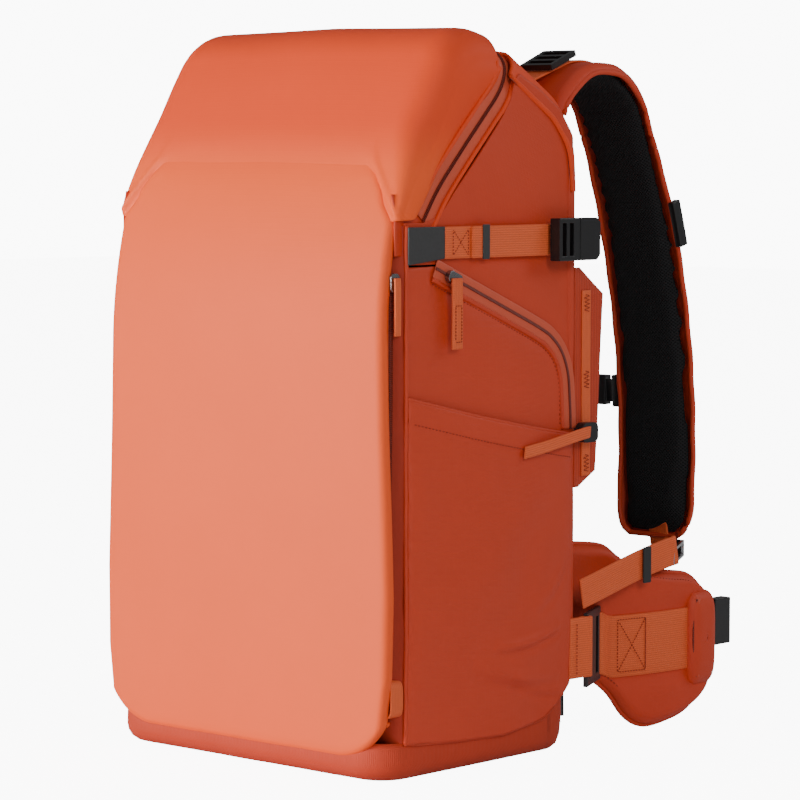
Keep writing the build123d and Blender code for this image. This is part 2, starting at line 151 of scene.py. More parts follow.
def resample(line, count):
    """The same line as evenly spaced points."""
    walked = np.concatenate([[0], np.cumsum(np.linalg.norm(np.diff(line, axis=0), axis=1))])
    wanted = np.linspace(0, walked[-1], count)
    return np.stack([np.interp(wanted, walked, line[:, k]) for k in range(line.shape[1])], -1)


def straight(count, *ends):
    """A straight run of points: each coordinate is one number or a (from, to) pair."""
    pairs = [e if isinstance(e, tuple) else (e, e) for e in ends]
    return np.column_stack([np.linspace(*pair, count) for pair in pairs])


def strip_section(width, thick, steps=5):
    """The rounded outline of a flat band: (across, out) points, closed, running round once."""
    r = thick / 2
    turn = np.linspace(-math.pi / 2, math.pi / 2, steps)
    right = np.stack([width / 2 - r + r * np.cos(turn), r * np.sin(turn)], -1)
    middle = np.linspace(width / 2 - r, -width / 2 + r, 7)[1:-1]
    top = np.stack([middle, np.full(5, r)], -1)
    return np.vstack([right, top, -right, -top])


def band(name, path, across, width, thick, lift=0.0):
    """Webbing: a rounded flat section carried along a path, closed at both ends.
    Point = path + across * a + out * (b + lift), where (a, b) runs round the section."""
    path = np.asarray(path, float)
    across = unit(np.broadcast_to(np.asarray(across, float), path.shape))
    along = unit(np.gradient(path, axis=0))
    out = unit(np.cross(along, across))
    section = strip_section(width, thick)
    ring = path[:, None] + across[:, None] * section[None, :, :1] + out[:, None] * (section[None, :, 1:] + lift)
    middle = (path[:, None] + across[:, None] * section[None, :, :1] * 0.98
              + out[:, None] * (section[None, :, 1:] * 0.05 + lift))
    tip = thick * 0.3
    ring = np.concatenate([middle[:1] - along[0] * tip, ring, middle[-1:] + along[-1] * tip])
    obj = surface(name, ring, wrap=True)
    recast_u(obj.data, np.broadcast_to(section[None, :, 0] * 0.001, ring.shape[:2]).ravel())
    return obj


def loop_vertices(mesh):
    """The vertex at each face corner."""
    corners = np.empty(len(mesh.loops), np.int32)
    mesh.loops.foreach_get("vertex_index", corners)
    return corners


def recast_u(mesh, values):
    """Overwrites the first texture coordinate with one value per vertex."""
    uvs = np.empty(len(mesh.loops) * 2, np.float32)
    mesh.uv_layers[0].data.foreach_get("uv", uvs)
    uvs[0::2] = values[loop_vertices(mesh)]
    mesh.uv_layers[0].data.foreach_set("uv", uvs)


def tube(name, path, radius, sides=10):
    """A round cord along a path, drawn in at both ends."""
    path = np.asarray(path, float)
    along = unit(np.gradient(path, axis=0))
    guess = np.where(np.abs(along[:, 2:3]) > 0.9, np.array([[1.0, 0, 0]]), np.array([[0, 0, 1.0]]))
    one = unit(np.cross(along, guess))
    two = np.cross(along, one)
    turn = np.linspace(0, 2 * math.pi, sides, endpoint=False)
    c, s = np.cos(turn)[None, :, None], np.sin(turn)[None, :, None]
    ring = path[:, None] + radius * (c * one[:, None] + s * two[:, None])
    ring = np.concatenate([path[:1, None] + (ring[:1] - path[:1, None]) * 0.05, ring,
                           path[-1:, None] + (ring[-1:] - path[-1:, None]) * 0.05])
    return surface(name, ring, wrap=True)


def points_of(mesh):
    """A mesh's points, in metres."""
    co = np.empty(len(mesh.vertices) * 3, np.float32)
    mesh.vertices.foreach_get("co", co)
    return co.reshape(-1, 3)


def mirrored(obj, name):
    """The same piece on the other side, with its normals still outward."""
    twin = obj.copy()
    twin.data = obj.data.copy()
    twin.name = twin.data.name = name
    bpy.context.scene.collection.objects.link(twin)
    twin.data.vertices.foreach_set("co", (points_of(twin.data) * np.float32([-1, 1, 1])).ravel())
    twin.data.flip_normals()
    return twin


def thicken(obj, mm, inner_slot=None, offset=-1.0):
    """Gives a sheet its thickness, with an optional lining on the inner side."""
    mod = obj.modifiers.new("thickness", "SOLIDIFY")
    mod.thickness = mm * 0.001
    mod.offset = offset
    mod.use_even_offset = False
    if inner_slot:
        obj.data.materials.append(MATERIALS[inner_slot])
        mod.material_offset = 1
    return obj


def noise(a, b, scale, seed, strength=1.0):
    """Smooth random hills: random heights on a square lattice, blended by smoothstep weights."""
    rng = np.random.default_rng(seed)
    table = rng.uniform(-1, 1, (64, 64))
    a, b = np.asarray(a) / scale + 7.3, np.asarray(b) / scale + 11.7
    i, j = np.floor(a).astype(int), np.floor(b).astype(int)
    s, t = a - i, b - j
    s, t = s * s * (3 - 2 * s), t * t * (3 - 2 * t)
    pick = lambda di, dj: table[(i + di) % 64, (j + dj) % 64]
    low = pick(0, 0) * (1 - s) + pick(1, 0) * s
    high = pick(0, 1) * (1 - s) + pick(1, 1) * s
    return strength * (low * (1 - t) + high * t)


def ramp(x, low, high):
    """0 below low, 1 above high, smooth between."""
    t = np.clip((np.asarray(x, float) - low) / (high - low), 0, 1)
    return t * t * (3 - 2 * t)


# ---- materials ----
MATERIALS = {}


def node(tree, kind, attrs=None, **inputs):
    """Adds a shader node. Inputs are set or linked by name, or by number as i0, i1."""
    made = tree.nodes.new(kind)
    for key, value in (attrs or {}).items():
        setattr(made, key, value)
    for key, value in inputs.items():
        numbered = key[0] == "i" and key[1:].isdigit()
        socket = made.inputs[int(key[1:]) if numbered else key.replace("_", " ")]
        if isinstance(value, bpy.types.NodeSocket):
            tree.links.new(value, socket)
        else:
            socket.default_value = value
    return made


def math_node(tree, operation, a, b=0.0):
    return node(tree, "ShaderNodeMath", {"operation": operation}, i0=a, i1=b).outputs[0]


def start_material(slot, colour, rough, metallic=0.0, specular=0.5):
    """Starts a material and keeps it in MATERIALS under its slot's name."""
    mat = bpy.data.materials.new(slot)
    mat.use_nodes = True
    shader = mat.node_tree.nodes["Principled BSDF"]
    values = {"Base Color": (*colour, 1), "Roughness": rough, "Metallic": metallic, "Specular IOR Level": specular}
    for key, value in values.items():
        shader.inputs[key].default_value = value
    MATERIALS[slot] = mat
    return mat.node_tree, shader


def waves(tree, coordinate, pitch):
    """A smooth 0 to 1 wave along a coordinate in metres."""
    turned = math_node(tree, "MULTIPLY", coordinate, 2 * math.pi / pitch)
    return math_node(tree, "MULTIPLY_ADD", math_node(tree, "SINE", turned), 0.5)


def uv_axes(tree):
    """The two texture coordinates, across and along."""
    uv = node(tree, "ShaderNodeUVMap", {"uv_map": "UVMap"}).outputs[0]
    split = node(tree, "ShaderNodeSeparateXYZ", Vector=uv)
    return split.outputs[0], split.outputs[1]


def shade(colour, factor):
    """A colour made darker or lighter, kept within 1."""
    return tuple(min(c * factor, 1) for c in colour)


def tint(tree, shader, colour, other, factor):
    """Mixes two colours into the base colour."""
    mix = node(tree, "ShaderNodeMix", {"data_type": "RGBA"})
    mix.inputs[6].default_value = (*colour, 1)
    mix.inputs[7].default_value = (*other, 1)
    tree.links.new(factor, mix.inputs[0])
    tree.links.new(mix.outputs[2], shader.inputs["Base Color"])


def bump(tree, shader, height, strength, distance=0.0003):
    made = node(tree, "ShaderNodeBump", Strength=strength, Distance=distance, Height=height)
    tree.links.new(made.outputs[0], shader.inputs["Normal"])


def woven(slot, colour, rough, pitch=0.0009, depth=0.2, patch=0.12, twill=False, grid=0.0, specular=0.35):
    """Woven cloth: warp and weft waves as a bump, faint large patches of colour, and optional grid yarns."""
    tree, shader = start_material(slot, colour, rough, specular=specular)
    u, v = uv_axes(tree)
    if twill:
        weave = waves(tree, math_node(tree, "ADD", u, v), pitch)
    else:
        weave = math_node(tree, "MULTIPLY", waves(tree, u, pitch), waves(tree, v, pitch))
    if grid:
        lines = math_node(tree, "POWER", waves(tree, u, grid), 24.0)
        lines = math_node(tree, "ADD", lines, math_node(tree, "POWER", waves(tree, v, grid), 24.0))
        weave = math_node(tree, "ADD", weave, lines)
    place_at = node(tree, "ShaderNodeTexCoord").outputs["Object"]
    soft = node(tree, "ShaderNodeTexNoise", Vector=place_at, Scale=9.0, Detail=4.0, Roughness=0.6).outputs[0]
    tint(tree, shader, shade(colour, 1 - patch * 2), shade(colour, 1 + patch * 1.2), soft)
    fine = node(tree, "ShaderNodeTexNoise", Vector=place_at, Scale=60.0, Detail=3.0).outputs[0]
    height = math_node(tree, "ADD", weave, math_node(tree, "MULTIPLY", fine, 0.8))
    bump(tree, shader, height, depth)
    return tree, shader


def paint_shade_above(tree, shader, colour, low, high):
    """Paints shade into the cloth's colour: between two heights it turns to a darker copy of the same cloth."""
    before = shader.inputs["Base Color"].links[0].from_socket
    at = node(tree, "ShaderNodeTexCoord").outputs["Object"]
    z = node(tree, "ShaderNodeSeparateXYZ", Vector=at).outputs[2]
    share = node(tree, "ShaderNodeMapRange", {"interpolation_type": "SMOOTHSTEP"},
                 Value=z, From_Min=low, From_Max=high)
    mix = node(tree, "ShaderNodeMix", {"data_type": "RGBA"})
    tree.links.new(share.outputs[0], mix.inputs[0])
    tree.links.new(before, mix.inputs[6])
    mix.inputs[7].default_value = (*colour, 1)
    tree.links.new(mix.outputs[2], shader.inputs["Base Color"])


def ribbed(slot, colour, rib=0.0018, weft=0.0018):
    """Webbing: long ribs across the width, a fine weft along it, and painted shade that darkens the grooves
    between ribs.
    """
    tree, shader = start_material(slot, colour, 0.6, specular=0.35)
    u, v = uv_axes(tree)
    ribs = waves(tree, u, rib)
    offset = math_node(tree, "ADD", v, math_node(tree, "MULTIPLY", ribs, weft))
    wefts = math_node(tree, "POWER", waves(tree, offset, weft), 0.6)
    height = math_node(tree, "MULTIPLY", math_node(tree, "POWER", ribs, 0.6), wefts)
    # Colour darkens where the weave is low: painted shade in the grooves.
    tint(tree, shader, shade(colour, 0.6), colour, math_node(tree, "POWER", height, 0.5))
    bump(tree, shader, height, 0.6, 0.0004)


def netting(slot, colour, pitch=0.0035):
    """Spacer mesh: rows of round holes painted dark as painted shade, each row shifted by half a hole."""
    tree, shader = start_material(slot, colour, 0.85, specular=0.2)
    u, v = uv_axes(tree)
    one = math_node(tree, "MULTIPLY", waves(tree, u, pitch), waves(tree, v, pitch))
    shift_u = math_node(tree, "ADD", u, pitch / 2)
    shift_v = math_node(tree, "ADD", v, pitch / 2)
    two = math_node(tree, "MULTIPLY", waves(tree, shift_u, pitch), waves(tree, shift_v, pitch))
    holes = math_node(tree, "POWER", math_node(tree, "MAXIMUM", one, two), 2.0)
    # The holes are painted near black: painted shade seen in the openings.
    tint(tree, shader, shade(colour, 2.2), shade(colour, 0.25), holes)
    bump(tree, shader, math_node(tree, "SUBTRACT", 1.0, holes), 0.7, 0.0008)


def coil(slot, colour, pitch=0.0016):
    """Zip coil: close round ribs across the chain, darkened between the ribs as painted shade."""
    tree, shader = start_material(slot, colour, 0.45)
    ribs = waves(tree, uv_axes(tree)[1], pitch)
    # The valleys between ribs are painted darker: painted shade.
    tint(tree, shader, shade(colour, 0.35), colour, ribs)
    bump(tree, shader, ribs, 0.9, 0.0006)


def moulded(slot, colour, rough, metal=False):
    """Moulded plastic or rubber with a fine grain, or brushed metal."""
    tree, shader = start_material(slot, colour, rough, metallic=float(metal))
    place_at = node(tree, "ShaderNodeTexCoord").outputs["Object"]
    if metal:
        place_at = node(tree, "ShaderNodeMapping", Vector=place_at, Scale=(1.0, 1.0, 14.0)).outputs[0]
    grain = 180.0 if metal else 420.0
    speck = node(tree, "ShaderNodeTexNoise", Vector=place_at, Scale=grain, Detail=3.0).outputs[0]
    tint(tree, shader, shade(colour, 0.8), shade(colour, 1.2), speck)
    bump(tree, shader, speck, 0.12, 0.0002)


FRONT_COLOUR = (0.88, 0.105, 0.020)
# The lid's colour is the front's cloth made darker: painted shade for the lid's upward slope.
LID_SHADED_COLOUR = (0.76, 0.066, 0.015)
GRID = 0.0045
# lid_fabric is this darker copy: painted shade on the sloping top.
woven("lid_fabric", LID_SHADED_COLOUR, 0.55, grid=GRID, depth=0.12, patch=0.04, specular=0.25)
lid_blend = woven("lid_blend", FRONT_COLOUR, 0.57, grid=GRID, depth=0.12, patch=0.03, specular=0.22)
# Above the crease the front's cloth turns to the darker copy: painted shade on the lid.
paint_shade_above(*lid_blend, LID_SHADED_COLOUR, 0.462, 0.512)
woven("side_fabric", (0.60, 0.052, 0.015), 0.52, grid=GRID, patch=0.06)
woven("gusset_fabric", (0.40, 0.030, 0.009), 0.65, patch=0.08)
woven("base_fabric", (0.52, 0.046, 0.014), 0.65, pitch=0.0016, twill=True, depth=0.6, patch=0.08)
woven("lining", (0.16, 0.16, 0.17), 0.7, patch=0.06)
woven("strap_fabric", (0.62, 0.052, 0.015), 0.55, grid=GRID, patch=0.08)
ribbed("webbing", (0.96, 0.150, 0.040))
ribbed("ribbed_webbing", (0.62, 0.055, 0.016), rib=0.0034)
netting("back_mesh", (0.020, 0.020, 0.021))
netting("pad_mesh", (0.010, 0.010, 0.0105), pitch=0.003)
woven("zip_tape", (0.66, 0.098, 0.045), 0.42, pitch=0.0013, depth=0.4)
coil("zip_coil", (0.28, 0.028, 0.012))
moulded("rubber_tab", (0.034, 0.034, 0.035), 0.55)
moulded("black_plastic", (0.010, 0.010, 0.011), 0.38)
moulded("hook_plastic", (0.022, 0.022, 0.024), 0.42)
moulded("frame_plastic", (0.42, 0.42, 0.42), 0.5)
moulded("gunmetal", (0.30, 0.30, 0.31), 0.26, metal=True)
moulded("stay_metal", (0.7, 0.7, 0.71), 0.35, metal=True)
woven("thread", (0.30, 0.026, 0.009), 0.6, pitch=0.0008)


def dress(obj, slot, body):
    """Gives a piece its material, its record slot and the body it moves with."""
    inside = [m for m in obj.data.materials if m == MATERIALS["lining"]]
    obj.data.materials.clear()
    for mat in [MATERIALS[slot], *inside]:
        obj.data.materials.append(mat)
    if body:
        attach(obj, body)
    return obj


def lined(obj, slot, body, stands_for=None, thick=3.0):
    """Makes a sheet a lined cloth panel, which may stand for a CAD node."""
    dress(thicken(obj, thick, "lining"), slot, body)
    if stands_for:
        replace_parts(obj, stands_for)


def webbing(name, path, across, width, thick, body="pack"):
    """A strip of webbing along a path."""
    return dress(band(name, path, across, width, thick), "webbing", body)


def dress_both(pieces, body):
    """Dresses right-hand pieces and their mirrored twins. Each row is a piece, its material and the
    CAD node that it stands for, without its side."""
    for piece, slot, stands_for in pieces:
        twin = mirrored(piece, piece.name.replace("right", "left"))
        for label, obj in (("right", piece), ("left", twin)):
            dress(obj, slot, f"{body}_{label}")
            if stands_for:
                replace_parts(obj, f"{stands_for}_{label}")


# ---- the outline from the side ----
def arc(cy, cz, r, start, end, count=90):
    """Points on an arc about (cy, cz), between two angles in degrees."""
    turn = np.radians(np.linspace(start, end, count))
    return np.stack([cy + r * np.cos(turn), cz + r * np.sin(turn)], -1)


RIDGE_Y = 114
OUTLINE = resample(np.vstack([
    [[0, 10]], arc(FRONT_R, STRAIGHT, FRONT_R, 180, 145), arc(RIDGE_Y, HEIGHT - RIDGE_R, RIDGE_R, 145, 90),
    arc(RIDGE_Y, HEIGHT - CROWN_R, CROWN_R, 90, 58), arc(DEPTH - REAR_R, REAR_Z, REAR_R, 58, 0), [[DEPTH, 10]],
]), 1600)
OUT_ALONG = unit(np.gradient(OUTLINE, axis=0))
OUT_NORMAL = np.stack([-OUT_ALONG[:, 1], OUT_ALONG[:, 0]], -1)
RIDGE_AT = int(np.argmax(OUTLINE[:, 1]))


def on_front(z):
    """The outline's index, as a fraction, at a height on the front side."""
    return np.interp(z, OUTLINE[:RIDGE_AT, 1], np.arange(RIDGE_AT))


def outline_at(index, table=OUTLINE):
    """The outline's points, or another table's values, at fractional indices."""
    whole = np.arange(len(OUTLINE))
    return np.stack([np.interp(index, whole, table[:, k]) for k in range(2)], -1)


def index_of_y(y, first):
    """The outline's index at a depth, searched over 400 points from the first."""
    return float(np.interp(y, OUTLINE[first:, 0][:400], np.arange(first, first + 400)))


REAR_INDEX = index_of_y(158.0, RIDGE_AT)
LID_INDEX = index_of_y(134.0, RIDGE_AT - 200)


def door_top(y):
    """The height of the side door's edge."""
    return np.interp(y, [24, 59, 74, 134, 183, 200, 212, 220, 224, 225],
                     [397, 397, 391, 367, 347, 338, 326, 308, 288, 262])


def side_x(y, z):
    """How far out the right side stands: a shallow bulge with soft creases, flattened along the strap
    and the door's zip, puckered at the front seam and rounded at the harness edge."""
    upward = 0.35 + 0.65 * ramp(z, 30, 130) * (1 - ramp(z, 470, 560))
    bulge = 4.2 * np.clip(1 - ((y - 128) / 106) ** 2, 0, 1) * upward
    flat = np.exp(-((z - STRAP_Z) / 24) ** 2) + np.exp(-((z - door_top(y) + 4) / 17) ** 2) * (y > 50)
    soft = 1 - 0.85 * np.clip(flat, 0, 1)
    crease = noise(y + 0.35 * z, z * 0.35, 34, 3, 1.0) + noise(y - 0.6 * z, z, 60, 5, 0.9)
    pucker = 0.8 * np.sin(z / 3.4 + noise(z, y * 0, 30, 6, 4)) * np.exp(-np.clip(y - 24, 0, 99) / 7)
    out = SIDE_X + bulge * soft + pucker + crease * soft * ramp(y, 26, 60) * (1 - ramp(y, 205, 228))
    radius = 12.0
    return out - (radius - np.sqrt(radius**2 - np.clip(y - 223, 0, radius) ** 2))


def hem_z(y):
    """The height of the bottle pocket's hem."""
    return 296 - 0.2 * (np.asarray(y) - 26) - 2.5 * np.sin((np.asarray(y) - 26) / 196 * math.pi)


# Each fold's start and end as (y, z), its height and its width
POCKET_FOLDS = (
    ((118, 92), (205, 97), 2.6, 4.5), ((95, 78), (206, 55), 2.4, 6.0),
    ((140, 66), (212, 44), 1.8, 5.0), ((168, 118), (214, 150), 1.0, 6.0),
)


def fold_line(y, z, start, end, deep, wide):
    """A drawn fold: a ridge beside a valley along a straight line, fading at both ends."""
    length = math.dist(start, end)
    way = (end[0] - start[0]) / length, (end[1] - start[1]) / length
    along = ((y - start[0]) * way[0] + (z - start[1]) * way[1]) / length
    off = ((z - start[1]) * way[0] - (y - start[0]) * way[1] + 3 * np.sin(along * 4)) / wide
    fade = np.clip(np.sin(np.clip(along, 0, 1) * math.pi), 0, 1) ** 0.6 * (along > 0) * (along < 1)
    return deep * fade * (np.exp(-((off - 0.9) ** 2)) - 0.9 * np.exp(-((off + 0.5) * 1.5) ** 2))


def seam_low(y):
    """The height of the base seam, which climbs towards the harness edge."""
    return np.interp(y, [24, 86, 137, 188, 206, 224, 236], [30, 25, 23, 29, 40, 56, 62])


def pocket_x(y, z):
    """The bottle pocket hangs out from the side: fullest low down, pulled flat at its seams and hem,
    with folds that run down from the hem's two ends."""
    across = np.clip((y - 25) / 198, 0, 1)
    up = np.clip((z - 25) / (hem_z(y) - 25), 0, 1)
    full = np.sin(across * math.pi) ** 0.45 * np.sin(np.clip(up**1.25 * 0.86 + 0.04, 0, 1) * math.pi) ** 0.6
    fold = np.sin((y - 0.55 * z) / 17 + noise(y, z, 70, 9, 2.2)) * ramp(up, 0.1, 0.5) * (1 - ramp(up, 0.86, 1.0))
    low = np.sin((y + 1.5 * z) / 21 + noise(y, z, 50, 12, 2.0)) * (1 - ramp(up, 0.1, 0.42))
    drawn = sum(fold_line(y, z, *line) for line in POCKET_FOLDS)
    hem = 0.9 * ramp(z, hem_z(y) - 20.5, hem_z(y) - 19.3)
    swell = 7.8 + 0.7 * fold + 0.9 * low + noise(y, z, 42, 21, 1.2)
    return side_x(y, z) + 1.6 + hem + full * swell + drawn


# ---- front and lid ----
def front_width(z):
    """The front flap's half-width at a height."""
    return np.interp(z, [20, 60, 145, 267, 380, 432, 446, 500],
                     [150, 154.5, 155.5, 151.5, 148.5, 147.5, 136, 124])


def front_out(x, z):
    """How far the front stands out from its outline: a broad swell with faint hills."""
    upward = np.clip(np.sin(math.pi * np.clip((z - 15) / 620, 0, 1)), 0, 1) ** 0.6
    swell = 3.6 * (1 - np.clip(np.abs(x) / 150, 0, 1) ** 2) * upward
    return swell + noise(x, z, 120, 1, 0.9)


def above_fold(x, z):
    """Two values beside the line where the flap runs in under the lid's cloth, soft in the middle and
    a sharp slanting dart near each side: 0 below it and 1 above it, and a ridge along the dart."""
    line = np.interp(np.abs(x), [0, 112, 121, 150], [476, 474, 469, 434])
    soft = np.interp(np.abs(x), [0, 90, 121, 150], [26, 22, 4, 3.5])
    over = (z - line) / soft
    return ramp(over, -1, 1), np.exp(-((over - 1.2) / 1.1) ** 2) * ramp(np.abs(x), 108, 124)


def front_corner(x):
    """How far the flap's lower edge lifts near its rounded corners."""
    over = np.clip((np.abs(x) - 102) / 54, 0, 0.97)
    return 52 * (1 - np.sqrt(1 - over**2))


def front_flap():
    """The front flap: the outline's curve carried across, bulged, with its edges rolled back.
    Each row is a height; each column runs from one rolled edge across to the other."""
    low_roll, side_roll = 5, 6
    roll = np.radians(np.linspace(0, 150, 7))[1:]
    turn = np.minimum(roll, math.pi / 2)
    rounded = FLAP_LOW_Z - low_roll * np.sin(roll[::-1])
    heights = np.concatenate([rounded, np.linspace(FLAP_LOW_Z, CREASE_Z, 130)])
    sink = np.concatenate([low_roll * (1 - np.cos(roll[::-1])), np.zeros(130)])
    flat = np.linspace(-1, 1, 91)
    tuck = side_roll * (1 - np.cos(roll))
    back = np.concatenate([tuck[::-1], np.zeros(91), tuck])
    rows = []
    for z, down in zip(heights, sink):
        wide = float(front_width(z)) - side_roll
        x, reach = (np.concatenate([-wide - side_roll * np.sin(a[::-1]), flat * wide,
                                    wide + side_roll * np.sin(a)]) for a in (roll, turn))
        lifted = z + front_corner(reach) * (1 - np.clip((z - FLAP_LOW_Z) / 115, 0, 1)) ** 1.3
        index = on_front(lifted)
        spot, normal = outline_at(index), outline_at(index, OUT_NORMAL)
        wave = noise(x, lifted * 0.5, 46, 2, 0.35) * ramp(np.abs(x), 90, 140)
        dip = 2.4 + 3.2 * ramp(np.abs(x), 112, 128)
        out = front_out(x, lifted) + wave - np.maximum(back, down) + 0.9 - dip * above_fold(x, lifted)[0]
        rows.append(np.stack([x, spot[:, 0] + normal[:, 0] * out, spot[:, 1] + normal[:, 1] * out], -1))
    obj = surface("front_flap", np.array(rows))
    # lid_blend carries painted shade: the flap's top turns darker towards the lid.
    dress(thicken(obj, 1.6), "lid_blend", None)
    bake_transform(obj)
    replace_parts(obj, "front_panel")


def lid_section(index, edge, wide, corner, swell, seed, rise=0.0, front=False):
    """One bent cross-line of the top: flat across, round the corner, then down the side to the edge point.
    With front, its middle follows the front flap's swell near the fold."""
    spot, normal = outline_at(index), outline_at(index, OUT_NORMAL)
    inward = edge - spot
    length = np.linalg.norm(inward)
    inward = inward / max(length, 1e-6)
    corner = min(corner, 0.8 * length)
    turn = np.radians(np.linspace(0, 90, 10))
    turn = turn[1:]
    level = wide - corner
    x = np.concatenate([np.linspace(0, level, 60), level + corner * np.sin(turn), np.full(14, wide)])
    deep = np.concatenate([np.zeros(60), corner * (1 - np.cos(turn)), np.linspace(corner, length, 15)[1:]])
    cheek = np.clip((deep - corner) / max(length - corner, 1e-6), 0, 1)
    x = x + 2.2 * np.sin(cheek * math.pi) + 0.9 * cheek
    hills = noise(x, np.full_like(x, index), 90, seed, 0.8) * (cheek < 0.5)
    out = rise + swell * (1 - np.clip(x / wide, 0, 1) ** 2) + hills
    if front:
        above, ridge = above_fold(x, np.full_like(x, spot[1]))
        share = 1 - ramp(index, on_front(490), on_front(550))
        flap = (front_out(x, spot[1]) + 0.9 - 2.2 * (1 - above) + 1.4 * ridge) * (1 - cheek)
        out = out * (1 - share) + share * flap
    y = spot[0] + inward[0] * deep + normal[0] * out
    z = spot[1] + inward[1] * deep + normal[1] * out
    right = np.stack([x, y, z], -1)
    return np.concatenate([right[:0:-1] * [-1, 1, 1], right])


# The lid's lower edge beside its zip, as (y, z)
ZIP_EDGE = [(33, 433), (48.5, 453), (69, 478.6), (94, 504.5), (120.5, 527.6), (132, 539.5), (135.5, 546)]


def lid_hood():
    """The fold-open lid: bent cross-lines from the hinge line up the front, over the ridge, to the zip."""
    edge = spline(ZIP_EDGE, 130)
    rows = []
    for k, t in enumerate(np.linspace(0, 1, 130)):
        index = on_front(HINGE_Z) * (1 - t) + LID_INDEX * t
        z = outline_at(index)[1]
        wide = 153.5 - 3.0 * ramp(z, 440, 520)
        corner, swell = 7 + 19 * ramp(t, 0.0, 0.5), 3.2 * ramp(t, 0.2, 0.6)
        rows.append(lid_section(index, edge[k], wide, corner, swell, 4, front=True))
    obj = surface("lid_hood", np.array(rows))
    # lid_blend carries painted shade: the lid turns darker above the crease.
    lined(obj, "lid_blend", "lid", "lid_shell")


def top_back():
    """The top behind the zip, down to the back panel."""
    rows = []
    low_z = 452
    last = float(np.interp(-low_z, -OUTLINE[RIDGE_AT:, 1], np.arange(RIDGE_AT, len(OUTLINE))))
    for t in np.linspace(0, 1, 60):
        index = REAR_INDEX * (1 - t) + last * t
        spot, normal = outline_at(index), outline_at(index, OUT_NORMAL)
        corner = 20 - 8 * ramp(t, 0.5, 1)
        edge = spot - normal * corner * 1.26
        rows.append(lid_section(index, edge, 153.0, corner, 1.0, 8, rise=1.2 * ramp(t, 0.3, 0.8)))
    # lid_fabric carries painted shade: a darker copy of the front's cloth.
    lined(surface("top_back", np.array(rows)), "lid_fabric", "pack", "yoke")


# ---- the lid's zip ----
# Half of the zip's line, each point with the direction from the lid towards the body
ZIP_POINTS = [
    (152.4, 45, 432, 0, 0.76, -0.65), (152.6, 62, 456, 0, 0.76, -0.65), (152.8, 88, 484, 0, 0.74, -0.67),
    (152.6, 115, 511, 0, 0.72, -0.69), (152.0, 133, 529, 0, 0.78, -0.62), (150.5, 142, 542, -0.1, 0.9, -0.42),
    (147, 146, 553, -0.1, 0.97, -0.25), (139, 146.5, 562, -0.05, 0.95, -0.3), (126, 146, 568.2, 0, 0.88, -0.47),
    (108, 146, 570.5, 0, 0.86, -0.5), (60, 146, 571.5, 0, 0.85, -0.53), (0, 146, 571.8, 0, 0.85, -0.53),
]


def lid_zip():
    """The arched zip: on each side of its line a tape, a row of coil and a welt."""
    half = np.array(ZIP_POINTS)
    line = spline(np.vstack([half, half[-2::-1] * [-1, 1, 1, -1, 1, 1]]), 260)
    path, towards = line[:, :3], unit(line[:, 3:])
    for side, body, node_name in ((-1, "lid", "lid_zip_tape"), (1, "pack", "body_zip_tape")):
        tape = band(f"{node_name}_cloth", path + towards * 6.6 * side, -towards, 12.4, 0.9, lift=-1.4)
        dress(tape, "zip_tape", body)
        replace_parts(tape, node_name)
        coil_path = path + towards * 0.85 * side
        dress(band(f"{node_name}_coil", coil_path, -towards, 1.5, 1.6, lift=-0.5), "zip_coil", body)
        dress(tube(f"{node_name}_welt", path + towards * 12.0 * side, 1.9), "lid_fabric", body)


# ---- body panels ----
def side_top(y):
    """The upper edge of the side wall behind the zip."""
    return np.interp(y, [24, 46, 62, 80, 107, 135, 147, 152, 157, 162, 182, 207, 222, 228],
                     [430, 430, 434, 455, 482, 510, 526, 541, 546, 543, 534, 519, 502, 494])


def sheet_between(name, y, low, high, rows, shape_x):
    """A side panel: upright columns from low(y) to high(y), standing out by shape_x(y, z)."""
    t = np.linspace(0, 1, rows)[:, None]
    z = low[None] * (1 - t) + high[None] * t
    yy = np.broadcast_to(y[None], z.shape)
    return surface(name, np.stack([shape_x(yy, z), yy, z], -1))


def side_walls():
    """The right side's upper wall and its door, and the left side's wall in one piece."""
    y = np.linspace(24, 227, 90)
    upper = sheet_between("side_upper_right", y, door_top(y) + 1.0, side_top(y), 70, side_x)
    lined(upper, "side_fabric", "pack", "side_panel_right")
    whole = sheet_between("side_wall_left", y, seam_low(y) - 1, side_top(y), 200, side_x)
    lined(mirrored(whole, "side_wall_left_skin"), "side_fabric", "pack", "side_panel_left")
    bpy.data.objects.remove(whole)
    y = np.linspace(25, 222.5, 90)
    door = sheet_between("door_skin", y, seam_low(y) - 1, door_top(y) - 0.6, 160, lambda y, z: side_x(y, z) + 0.6)
    lined(door, "side_fabric", "side_door", "side_door")


def rear_corners():
    """The rounded upright edges beside the back panel."""
    plan = np.vstack([[[151.5, 219.0]], arc(141, 222.6, 12.6, -8, 96, 16), [[135, 234.4]]])
    z = np.linspace(58, 470, 90)
    grid = np.stack(np.broadcast_arrays(plan[None, :, 0], plan[None, :, 1], z[:, None]), -1)
    grid = grid + noise(grid[..., 2], grid[..., 1], 40, 14, 0.5)[..., None] * [1, 0, 0]
    right = surface("rear_corner_right", grid)
    for obj in (right, mirrored(right, "rear_corner_left")):
        lined(obj, "side_fabric", "pack", thick=2.0)


def back_face():
    """The back panel under the pads: a broad mesh sheet, a little hollow along the spine."""
    x, z = np.meshgrid(np.linspace(-138, 138, 70), np.linspace(24, 462, 110))
    y = 235.4 - 1.6 * np.exp(-(x / 22) ** 2) + noise(x, z, 40, 16, 0.4)
    lined(surface("back_face", np.stack([x, y, z], -1), flip=True), "back_mesh", "pack", "back_panel")


